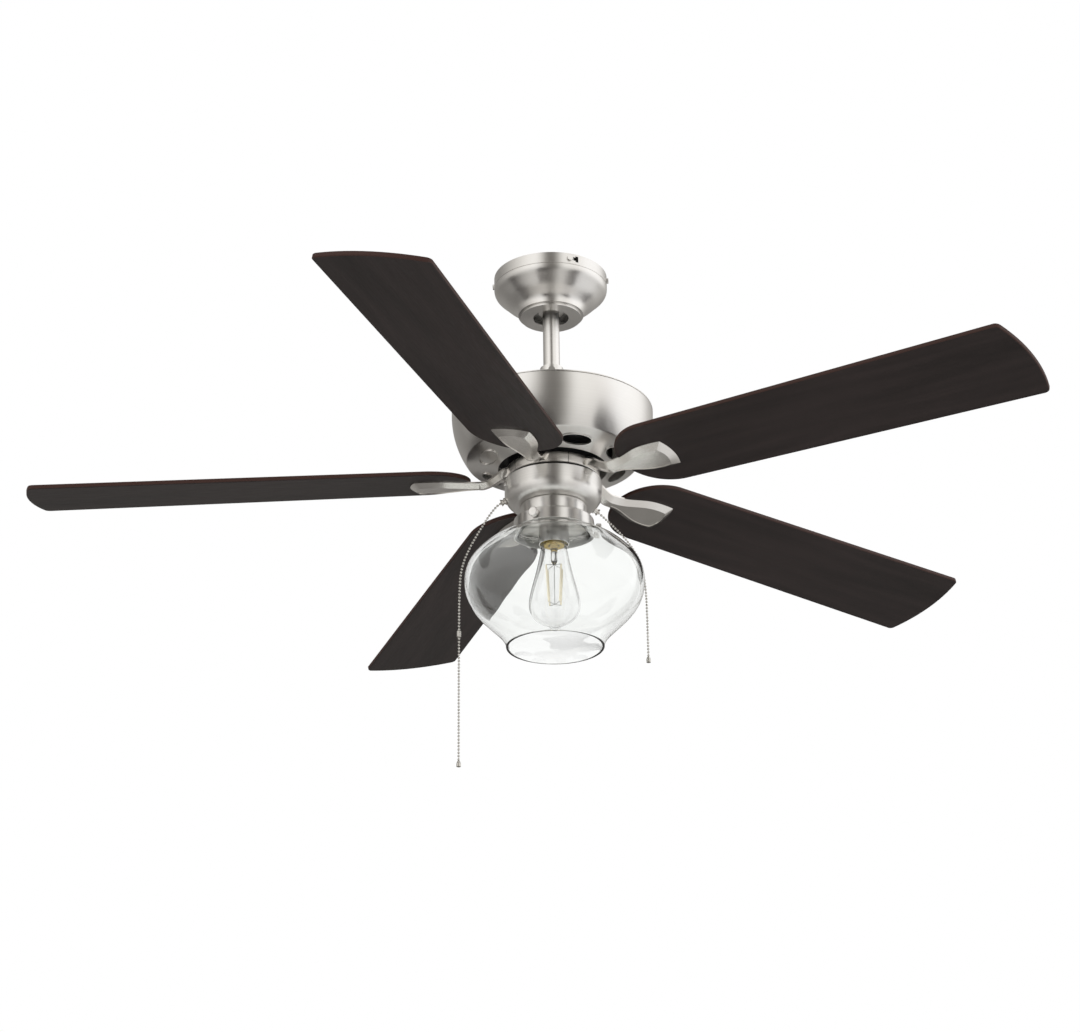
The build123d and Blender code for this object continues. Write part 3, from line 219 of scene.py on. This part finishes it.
def even_coat(name, light, dark, rough, peel_mm, depth):
    """Moulded or sprayed: one colour with the slight orange peel that a mould or a spray gun
    leaves, peel_mm across."""
    made, tree = material(name)
    place = node(tree, "ShaderNodeTexCoord")
    peel = node(tree, "ShaderNodeTexNoise", None,
                {"Vector": (place, "Object"), "Scale": 1 / (peel_mm * MM), "Detail": 2.0})
    share = node(tree, "ShaderNodeMapRange", None,
                 {"Value": (peel, "Fac"), "From Min": NOISE_LOW, "From Max": NOISE_HIGH})
    colour = node(tree, "ShaderNodeMix", {"data_type": "RGBA"},
                  {"Factor": (share, 0), COLOUR_A: linear(dark), COLOUR_B: linear(light)})
    bump = node(tree, "ShaderNodeBump", None,
                {"Height": (peel, "Fac"), "Strength": depth, "Distance": 0.2 * MM})
    shader = node(tree, "ShaderNodeBsdfPrincipled", None,
                  {"Base Color": (colour, MIXED_COLOUR), "Roughness": rough, "Normal": (bump, 0)})
    node(tree, "ShaderNodeOutputMaterial", None, {"Surface": (shader, 0)})
    return made


def espresso_veneer(azimuth):
    """Espresso-stained veneer on a laminated board, under matt lacquer. The eye gets an almost
    black brown with faint long grain, and a redder line where the stain is thin along the cut
    edge. The figure is 20 mm wide and 250 mm long. Real pores are about 0.3 mm wide, and here
    they are 1.1 mm wide and 45 mm long to show."""
    figure_per_m = (4.0, 50.0, 50.0)
    pores_per_m = (22.0, 900.0, 900.0)
    level_face = 0.8  # a face whose normal's upward share is under this is a cut edge
    made, tree = material(f"espresso_veneer_{azimuth:.0f}".replace("-", "minus_"))
    place = node(tree, "ShaderNodeTexCoord")
    along = node(tree, "ShaderNodeMapping", {"vector_type": "TEXTURE"},
                 {"Vector": (place, "Object"), "Rotation": (0.0, 0.0, math.radians(azimuth))})
    wide = node(tree, "ShaderNodeMapping", None,
                {"Vector": (along, 0), "Scale": figure_per_m})
    lengthways = node(tree, "ShaderNodeMapping", None,
                      {"Vector": (along, 0), "Scale": pores_per_m})
    figure = node(tree, "ShaderNodeTexNoise", None,
                  {"Vector": (wide, 0), "Scale": 1.0, "Detail": 4.0, "Distortion": 0.5})
    pores = node(tree, "ShaderNodeTexNoise", None,
                 {"Vector": (lengthways, 0), "Scale": 1.0, "Detail": 3.0})
    grain = node(tree, "ShaderNodeMix", {"data_type": "FLOAT"},
                 {"Factor": 0.45, FLOAT_A: (figure, "Fac"), FLOAT_B: (pores, "Fac")})
    share = node(tree, "ShaderNodeMapRange", None,
                 {"Value": (grain, 0), "From Min": 0.32, "From Max": 0.68})
    face = node(tree, "ShaderNodeMix", {"data_type": "RGBA"},
                {"Factor": (share, 0), COLOUR_A: linear("#1b1615"),
                 COLOUR_B: linear("#2b2322")})
    way = node(tree, "ShaderNodeSeparateXYZ", None, {0: (place, "Normal")})
    upright = node(tree, "ShaderNodeMath", {"operation": "ABSOLUTE"}, {0: (way, "Z")})
    cut = node(tree, "ShaderNodeMath", {"operation": "LESS_THAN"},
               {0: (upright, 0), 1: level_face})
    colour = node(tree, "ShaderNodeMix", {"data_type": "RGBA"},
                  {"Factor": (cut, 0), COLOUR_A: (face, MIXED_COLOUR),
                   COLOUR_B: linear("#301d18")})
    gloss = node(tree, "ShaderNodeMapRange", None,
                 {"Value": (pores, "Fac"), "From Min": 0.3, "From Max": 0.7,
                  "To Min": 0.46, "To Max": 0.6})
    bump = node(tree, "ShaderNodeBump", None,
                {"Height": (pores, "Fac"), "Strength": 0.15, "Distance": 0.2 * MM})
    shader = node(tree, "ShaderNodeBsdfPrincipled", None,
                  {"Base Color": (colour, MIXED_COLOUR), "Roughness": (gloss, 0),
                   "Normal": (bump, 0), "Specular IOR Level": 0.25})
    node(tree, "ShaderNodeOutputMaterial", None, {"Surface": (shader, 0)})
    return made


def clear_glass(name, colour, index, waver_mm):
    """Blown glass: clear, with bright and dark rims where the eye looks along the wall, and a
    faint waver from the blowing, waver_mm across."""
    made, tree = material(name)
    place = node(tree, "ShaderNodeTexCoord")
    waver = node(tree, "ShaderNodeTexNoise", None,
                 {"Vector": (place, "Object"), "Scale": 1 / (waver_mm * MM), "Detail": 0.0})
    bump = node(tree, "ShaderNodeBump", None,
                {"Height": (waver, "Fac"), "Strength": 0.02, "Distance": 0.5 * MM})
    shader = node(tree, "ShaderNodeBsdfPrincipled", None,
                  {"Base Color": linear(colour), "Roughness": 0.0, "IOR": index,
                   "Transmission Weight": 1.0, "Normal": (bump, 0)})
    node(tree, "ShaderNodeOutputMaterial", None, {"Surface": (shader, 0)})
    return made


FINISH = {
    # The turned housings: warm pale metal with soft upright bands of light.
    "satin_nickel": turned_nickel("lathe_brushed_satin_nickel", "#e6e4e1", "#dddbd8",
                                  rough=0.32, scratch_mm=0.6, streak=0.7),
    # The hanging pipe: lighter, with narrower bands along its length.
    "rod_steel": turned_nickel("satin_nickel_drawn_pipe", "#eae8e5", "#dedcd9",
                               rough=0.34, scratch_mm=0.5, streak=0.5),
    # The blade irons: pale metal, crisp on its bevels, with no direction.
    "cast_nickel": plated_metal("die_cast_satin_nickel", "#e4e1dd", "#dad7d2",
                                rough=0.22, grain_mm=0.6, depth=0.03),
    # Brackets and screws out of sight: grey and dull.
    "zinc_steel": plated_metal("zinc_plated_steel", "#c2c2c0", "#a3a3a1",
                               rough=0.42, grain_mm=0.7, depth=0.15),
    # Pull chains: a small bright point on each bead.
    "chain_nickel": plated_metal("nickel_plated_bead_chain", "#dedbd6", "#c5c2bc",
                                 rough=0.18, grain_mm=0.5, depth=0.05),
    # The lamp's screw cap: pale yellow metal.
    "lamp_brass": plated_metal("pressed_brass_cap", "#d9c27e", "#b99d58",
                               rough=0.25, grain_mm=0.6, depth=0.1),
    # The motor's core and coils, which only show through the vents.
    "lamination": stacked_steel("stacked_electrical_steel", "#757576", "#3c3c3e"),
    "copper_coil": wound_wire("enamelled_copper_wire", "#b87033", "#5f3016"),
    # The motor's shells: black, so that the vents look dark.
    "black_steel": even_coat("black_baked_enamel", "#161617", "#0d0d0e",
                             rough=0.45, peel_mm=1.1, depth=0.12),
    # Switch bodies and the reverse switch's slider: black with a soft sheen.
    "switch_plastic": even_coat("black_moulded_phenolic", "#1b1a19", "#121110",
                                rough=0.5, peel_mm=0.8, depth=0.1),
    # The socket's inside over the lamp: dull yellow.
    "socket_core": even_coat("yellowed_moulded_socket_core", "#b5a457", "#8f7f3c",
                             rough=0.4, peel_mm=1.0, depth=0.1),
    # The lamp's light-emitting sticks, unlit: warm cream.
    "filament": even_coat("cream_phosphor_coat", "#fffaea", "#fdeec4",
                          rough=0.6, peel_mm=0.4, depth=0.1),
    # The shade: soda glass with a long slow waver.
    "clear_glass": clear_glass("clear_blown_soda_glass", "#fdfefd", index=1.5, waver_mm=40.0),
    # The lamp: thinner glass that bends the light less.
    "lamp_clear": clear_glass("thin_clear_lamp_glass", "#fefefe", index=1.47, waver_mm=25.0),
}

# ---- the CAD pieces' finishes ----
BLADE_COUNT = 5
FIRST_BLADE = -34.8  # degrees, its azimuth
BLADE_AZIMUTH = {f"blade_{turn + 1}": FIRST_BLADE + 360 / BLADE_COUNT * turn
                 for turn in range(BLADE_COUNT)}
SLOT_OF = {row["node"]: row["material_slot"] for row in frame["record"]["subparts"]}

for name, part in nodes.items():
    if name in BLADE_AZIMUTH:
        finish = espresso_veneer(BLADE_AZIMUTH[name])
    else:
        finish = FINISH[SLOT_OF[name]]
    for slot in part.material_slots:
        slot.material = finish


# ---- modelling ----
SMOOTH_UNDER = math.radians(40)  # edges that bend less than this look round


def drawn_out(name, sides, profile, fill="NGON"):
    """A round piece drawn out in edit mode from its first ring, through (radius, z) steps.
    Without a fill it is an open wall, and a last radius of 0 closes it at a point."""
    radius, z = profile[0]
    bpy.ops.mesh.primitive_circle_add(vertices=sides, radius=radius, fill_type=fill,
                                      location=(0.0, 0.0, z))
    made = bpy.context.object
    made.name = name
    made.data.name = name
    bpy.ops.object.transform_apply(location=True, rotation=True, scale=True)
    bpy.ops.object.mode_set(mode="EDIT")
    bpy.ops.mesh.select_all(action="SELECT")
    for next_radius, next_z in profile[1:]:
        bpy.ops.mesh.extrude_region_move(
            TRANSFORM_OT_translate={"value": (0.0, 0.0, next_z - z)})
        if next_radius == 0:
            bpy.ops.mesh.merge(type="CENTER")
            break
        share = next_radius / radius
        bpy.ops.transform.resize(value=(share, share, 1.0), center_override=(0.0, 0.0, next_z))
        radius, z = next_radius, next_z
    bpy.ops.mesh.select_all(action="SELECT")
    bpy.ops.mesh.normals_make_consistent(inside=False)
    bpy.ops.object.mode_set(mode="OBJECT")
    bpy.ops.object.shade_smooth_by_angle(angle=SMOOTH_UNDER)
    bpy.ops.object.select_all(action="DESELECT")
    return made


def copied(piece, name, place):
    """A copy with its own mesh, moved to its place."""
    made = piece.copy()
    made.data = piece.data.copy()
    made.name = name
    made.data.name = name
    bpy.context.scene.collection.objects.link(made)
    made.data.transform(place)
    return made


def joined(pieces, name):
    """Several pieces as one mesh."""
    for piece in pieces:
        piece.select_set(True)
    bpy.context.view_layer.objects.active = pieces[0]
    bpy.ops.object.join()
    made = bpy.context.object
    made.name = name
    made.data.name = name
    bpy.ops.object.select_all(action="DESELECT")
    return made


def dressed(piece, body, slot):
    """Gives a piece its finish and the body that it moves with."""
    piece.data.materials.clear()
    piece.data.materials.append(FINISH[slot])
    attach(piece, body)
    return piece


def upright_to(start, end):
    """The place of a unit-long piece made from z 0 to z 1, laid from start to end."""
    run = Vector(end) - Vector(start)
    turn = run.to_track_quat("Z", "Y").to_matrix().to_4x4()
    return Matrix.Translation(start) @ turn @ Matrix.Diagonal((1.0, 1.0, run.length, 1.0))


# ---- pull chains ----
BEAD_R = 1.6 * MM
BEAD_PITCH = 4.2 * MM
BEAD_SIDES = 10
BEAD_RINGS = (-72, -38, 0, 38, 72)  # degrees up the bead from its middle
LINK_R = 0.3 * MM
LINK_SIDES = 6

# The middle of each cord, in metres, as the points that draw its line.
FAN_ROUTE = (
    (-0.0577, 0.0, -0.3151), (-0.0678, 0.0, -0.3198), (-0.0750, 0.0, -0.3270),
    (-0.0856, 0.0, -0.3430), (-0.1034, 0.0, -0.3740), (-0.1158, 0.0, -0.4040),
    (-0.1188, 0.0, -0.4360), (-0.1188, 0.0, -0.4905),
)
TAIL_ROUTE = ((-0.1188, 0.0, -0.4985), (-0.1188, 0.0, -0.5785), (-0.1188, 0.0, -0.6585))
LIGHT_ROUTE = (
    (0.0494, 0.0297, -0.3151), (0.0581, 0.0349, -0.3198), (0.0656, 0.0366, -0.3268),
    (0.0780, 0.0362, -0.3400), (0.0970, 0.0330, -0.3640), (0.1100, 0.0300, -0.3920),
    (0.1146, 0.0288, -0.4250), (0.1153, 0.0284, -0.4710), (0.1153, 0.0284, -0.5175),
)


def hanging_line(name, route):
    """The points of a smooth NURBS line through a route's control points."""
    curve = bpy.data.curves.new(name, "CURVE")
    curve.dimensions = "3D"
    curve.resolution_u = 24
    spline = curve.splines.new("NURBS")
    spline.points.add(len(route) - 1)
    for point, at in zip(spline.points, route):
        point.co = (*at, 1.0)
    spline.order_u = 3
    spline.use_endpoint_u = True
    holder = bpy.data.objects.new(name, curve)
    mesh = bpy.data.meshes.new_from_object(holder)
    line = [vertex.co.copy() for vertex in mesh.vertices]
    bpy.data.objects.remove(holder)
    bpy.data.meshes.remove(mesh)
    return line


def lengths_along(line):
    """How far along a line each of its points is."""
    lengths = [0.0]
    for start, end in zip(line, line[1:]):
        lengths.append(lengths[-1] + (end - start).length)
    return lengths


def evenly(line, count):
    """Points at equal steps along a line, the first and last half a step in."""
    lengths = lengths_along(line)
    found = []
    at = 0
    for step in range(count):
        want = lengths[-1] * (step + 0.5) / count
        while lengths[at + 1] < want:
            at += 1
        share = (want - lengths[at]) / (lengths[at + 1] - lengths[at])
        found.append(line[at].lerp(line[at + 1], share))
    return found


# One bead, rounded from its rings, and one straight wire link a unit long.
BEAD = drawn_out("bead", BEAD_SIDES, [
    (BEAD_R * math.cos(math.radians(ring)), BEAD_R * math.sin(math.radians(ring)))
    for ring in BEAD_RINGS])
LINK = drawn_out("link", LINK_SIDES, [(LINK_R, 0.0), (LINK_R, 1.0)])


def bead_chain(name, route, node_name, body):
    """Ball chain: nickel beads on short wire links, one mesh."""
    line = hanging_line(name, route)
    total = lengths_along(line)[-1]
    beads = evenly(line, round(total / BEAD_PITCH))
    stops = [line[0]] + beads + [line[-1]]
    pieces = []
    for before, at, after in zip(stops, stops[1:], stops[2:]):
        turn = (after - before).to_track_quat("Z", "Y").to_matrix().to_4x4()
        pieces.append(copied(BEAD, "bead_copy", Matrix.Translation(at) @ turn))
    for start, end in zip(stops, stops[1:]):
        pieces.append(copied(LINK, "link_copy", upright_to(start, end)))
    made = dressed(joined(pieces, name), body, "chain_nickel")
    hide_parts(node_name)


bead_chain("fan_bead_chain", FAN_ROUTE, "fan_chain", "fan_pull")
bead_chain("fan_bead_chain_tail", TAIL_ROUTE, "fan_chain_tail", "fan_pull")
bead_chain("light_bead_chain", LIGHT_ROUTE, "light_chain", "light_pull")

# ---- glass ----
GLASS_SIDES = 48
GLASS_SMOOTH_UNDER = math.radians(50)
ROUNDED_TWICE = 2  # levels of subdivision


def in_mm(profile):
    """A profile that is written in millimetres, in metres."""
    return [(radius * MM, z * MM) for radius, z in profile]


def blown(name, profile, wall, slot, node_name):
    """A glass wall, smooth from ring to ring, its thickness inside the drawn outline. It casts
    no shadow, because clear glass in a white room hardly does."""
    made = drawn_out(name, GLASS_SIDES, in_mm(profile), fill="NOTHING")
    bpy.context.view_layer.objects.active = made
    made.select_set(True)
    thick = made.modifiers.new("wall", "SOLIDIFY")
    thick.thickness = wall * MM
    thick.offset = -1.0
    smooth = made.modifiers.new("smooth", "SUBSURF")
    smooth.levels = ROUNDED_TWICE
    smooth.render_levels = ROUNDED_TWICE
    for modifier in (thick, smooth):
        bpy.ops.object.modifier_apply(modifier=modifier.name)
    bpy.ops.object.shade_smooth_by_angle(angle=GLASS_SMOOTH_UNDER)
    bpy.ops.object.select_all(action="DESELECT")
    made.visible_shadow = False
    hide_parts(node_name)
    dressed(made, "hanging_frame", slot)


# The shade's outer line in mm, from its mouth up to the bead that the thumb screws hold.
SHADE = (
    (61.0, -514.1), (61.0, -512.4), (61.3, -509.6), (63.0, -504.0), (68.8, -495.4),
    (76.2, -487.9), (83.7, -480.7), (91.2, -473.4), (98.3, -465.7), (104.5, -457.4),
    (109.3, -448.1), (112.1, -438.0), (112.9, -427.6), (112.1, -416.6), (108.9, -406.0),
    (102.7, -396.9), (95.0, -388.8), (86.8, -381.4), (77.8, -375.0), (67.8, -370.3),
    (57.4, -366.4), (49.6, -362.6), (47.8, -360.4), (47.6, -357.0), (47.6, -352.0),
    (49.1, -350.6), (49.1, -348.6), (47.7, -348.1),
)
# The lamp's outer line in mm, from its rim in the socket down to the sealed tip.
BULB = (
    (15.4, -375.6), (16.0, -379.0), (16.9, -384.5), (18.4, -393.0), (20.3, -403.0),
    (22.9, -414.5), (26.4, -428.0), (30.2, -441.5), (32.2, -452.0), (32.3, -460.0),
    (30.6, -467.5), (26.8, -474.0), (20.6, -479.6), (13.0, -484.0), (10.2, -485.3),
    (9.4, -486.0), (8.6, -487.0), (5.6, -489.8), (2.6, -491.7), (0, -492.0),
)
SHADE_WALL = 3.0  # mm
BULB_WALL = 0.9
blown("blown_glass_shade", SHADE, SHADE_WALL, "clear_glass", "glass_shade")
blown("lamp_glass_bulb", BULB, BULB_WALL, "lamp_clear", "lamp_glass")

# ---- inside the lamp ----
# The glass stem's outer line in mm, from its pinch up to its flare in the lamp's neck.
STEM = (
    (1.2, -404.5), (2.6, -402.5), (4.2, -398.5), (4.4, -395.0), (4.0, -391.0),
    (4.2, -385.0), (5.4, -380.0), (9.0, -376.5),
)
STEM_SIDES = 24
PINCH_Z = -404.0 * MM
STAR_Z = -456.5 * MM
STICK_HEAD = (13.2 * MM, -407.0 * MM)
STICK_FOOT = (9.8 * MM, -455.0 * MM)
STICK_R = 1.15 * MM
STICK_SIDES = 12
STICK_COUNT = 4
FIRST_STICK = 40  # degrees
WIRE_R = 0.4 * MM
WIRE_SIDES = 8

stem = drawn_out("lamp_glass_stem", STEM_SIDES, in_mm(STEM))
dressed(stem, "hanging_frame", "lamp_clear")
stem.visible_shadow = False
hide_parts("lamp_filament")

# One stick with rounded ends and one wire, each a unit long.
STICK = drawn_out("stick", STICK_SIDES, [(0.6, 0.0), (0.95, 0.012), (1.0, 0.03), (1.0, 0.97),
                                         (0.95, 0.988), (0.6, 1.0)])
STICK.data.transform(Matrix.Diagonal((STICK_R, STICK_R, 1.0, 1.0)))
WIRE = drawn_out("wire", WIRE_SIDES, [(WIRE_R, 0.0), (WIRE_R, 1.0)])
wires = [copied(WIRE, "mast_wire", upright_to((0.0, 0.0, PINCH_Z), (0.0, 0.0, STAR_Z)))]
for count in range(STICK_COUNT):
    around = Matrix.Rotation(math.radians(FIRST_STICK + 360 / STICK_COUNT * count), 4, "Z")
    top = (STICK_HEAD[0], 0.0, STICK_HEAD[1])
    foot = (STICK_FOOT[0], 0.0, STICK_FOOT[1])
    stick = copied(STICK, f"lamp_filament_stick_{count + 1}", around @ upright_to(top, foot))
    dressed(stick, "hanging_frame", "filament")
    wires.append(copied(WIRE, "top_wire", around @ upright_to((0.0, 0.0, PINCH_Z), top)))
    wires.append(copied(WIRE, "foot_wire", around @ upright_to((0.0, 0.0, STAR_Z), foot)))
dressed(joined(wires, "lamp_support_wires"), "hanging_frame", "zinc_steel")

for pattern in (BEAD, LINK, STICK, WIRE):
    bpy.data.objects.remove(pattern)

# ---- studio ----
HUB = Vector((0.0, 0.0, -0.3))
SIDE_BOX = (1.2, 1.8)
UNDER_BOX = (2.0, 1.4)
FLOOR_Z = -2.5
FLOOR_SIZE = 40.0
FLOOR_GLOW = 0.3  # lifts the floor to the white of the room, for the camera alone


def softbox(name, place, size, power):
    """A soft lamp that faces the fan, and isn't itself mirrored in the metal."""
    lamp = bpy.data.lights.new(name, "AREA")
    lamp.shape = "RECTANGLE"
    lamp.size, lamp.size_y = size
    lamp.energy = power
    made = bpy.data.objects.new(name, lamp)
    bpy.context.scene.collection.objects.link(made)
    made.location = place
    made.rotation_euler = (HUB - Vector(place)).to_track_quat("-Z", "Y").to_euler()
    made.visible_camera = False
    made.visible_glossy = False
    made.visible_transmission = False


softbox("key_softbox", (-2.2, -2.2, 0.6), SIDE_BOX, power=46.0)
softbox("fill_softbox", (2.6, -1.6, 0.2), SIDE_BOX, power=38.0)
softbox("under_softbox", (0.0, -1.6, -2.2), UNDER_BOX, power=20.0)

# The floor is pale and matt. It isn't mirrored in the metal, and it is clear from below, so
# that it never hides the fan.
bpy.ops.mesh.primitive_plane_add(size=FLOOR_SIZE, location=(0.0, 0.0, FLOOR_Z))
floor = bpy.context.object
floor.name = "studio_floor"
floor.visible_glossy = False
bpy.ops.object.select_all(action="DESELECT")
paint, paint_tree = material("pale_matt_floor")
floor_ray = node(paint_tree, "ShaderNodeLightPath")
floor_white = node(paint_tree, "ShaderNodeMath", {"operation": "MULTIPLY"},
                   {0: (floor_ray, "Is Camera Ray"), 1: FLOOR_GLOW})
floor_shader = node(paint_tree, "ShaderNodeBsdfPrincipled", None,
                    {"Base Color": linear("#f2f2f0"), "Roughness": 0.85,
                     "Emission Strength": (floor_white, 0)})
side = node(paint_tree, "ShaderNodeNewGeometry")
clear = node(paint_tree, "ShaderNodeBsdfTransparent")
one_sided = node(paint_tree, "ShaderNodeMixShader", None,
                 {0: (side, "Backfacing"), 1: (floor_shader, 0), 2: (clear, 0)})
node(paint_tree, "ShaderNodeOutputMaterial", None, {"Surface": (one_sided, 0)})
floor.data.materials.append(paint)

# The room is plain white to the camera and through glass, and a plain grey-white light to matt
# faces. Metal mirrors a tent round the fan: white panels with darker gaps between them. A
# bearing is in degrees from the side that the camera stands on, to the right. The tent is
# brighter level with the fan than low down, where an upward share of -0.6 is its low edge.
WHITE = linear("#ffffff")
ROOM_LIGHT = 0.8
TENT_LOW_EDGE = -0.6
TENT_LOW_LIGHT = 0.9
TENT_LEVEL_LIGHT = 1.35
PANELS = (
    (-180, "#8f8d8a"), (-160, "#8b8986"), (-130, "#7d7b78"), (-105, "#9b9996"), (-75, "#cccac6"),
    (-50, "#eeece9"), (-28, "#f8f7f5"), (-17, "#d2d0cc"), (-8, "#706d69"),
    (8, "#5f5c58"), (16, "#a8a6a1"), (26, "#f0efec"), (50, "#e8e6e3"), (62, "#f0eeec"),
    (80, "#ffffff"), (118, "#f8f7f6"), (138, "#b9b7b4"), (160, "#8f8d8a"), (180, "#8f8d8a"),
)
world = bpy.data.worlds.new("studio")
bpy.context.scene.world = world
world.use_nodes = True
sky = world.node_tree
sky.nodes.clear()
ray = node(sky, "ShaderNodeLightPath")
seen = node(sky, "ShaderNodeMath", {"operation": "MAXIMUM"},
            {0: (ray, "Is Camera Ray"), 1: (ray, "Is Transmission Ray")})
dim = node(sky, "ShaderNodeBackground", None, {"Color": WHITE, "Strength": ROOM_LIGHT})
white = node(sky, "ShaderNodeBackground", None, {"Color": WHITE, "Strength": 1.0})
direction = node(sky, "ShaderNodeTexCoord")
compass = node(sky, "ShaderNodeSeparateXYZ", None, {0: (direction, "Generated")})
front = node(sky, "ShaderNodeMath", {"operation": "MULTIPLY"}, {0: (compass, "Y"), 1: -1.0})
bearing = node(sky, "ShaderNodeMath", {"operation": "ARCTAN2"},
               {0: (compass, "X"), 1: (front, 0)})
turn_share = node(sky, "ShaderNodeMapRange", None,
                  {"Value": (bearing, 0), "From Min": -math.pi, "From Max": math.pi})
panels = node(sky, "ShaderNodeValToRGB", None, {"Fac": (turn_share, 0)})
ramp = panels.color_ramp
for _ in PANELS[len(ramp.elements):]:
    ramp.elements.new(0.5)
for element, (degrees, colour) in zip(ramp.elements, PANELS):
    element.position = (degrees + 180) / 360
    element.color = linear(colour)
height = node(sky, "ShaderNodeMapRange", None,
              {"Value": (compass, "Z"), "From Min": TENT_LOW_EDGE, "From Max": 0.0,
               "To Min": TENT_LOW_LIGHT, "To Max": TENT_LEVEL_LIGHT})
tent = node(sky, "ShaderNodeBackground", None, {"Color": (panels, 0), "Strength": (height, 0)})
for_metal = node(sky, "ShaderNodeMixShader", None,
                 {0: (ray, "Is Glossy Ray"), 1: (dim, 0), 2: (tent, 0)})
shown = node(sky, "ShaderNodeMixShader", None, {0: (seen, 0), 1: (for_metal, 0), 2: (white, 0)})
node(sky, "ShaderNodeOutputWorld", None, {"Surface": (shown, 0)})
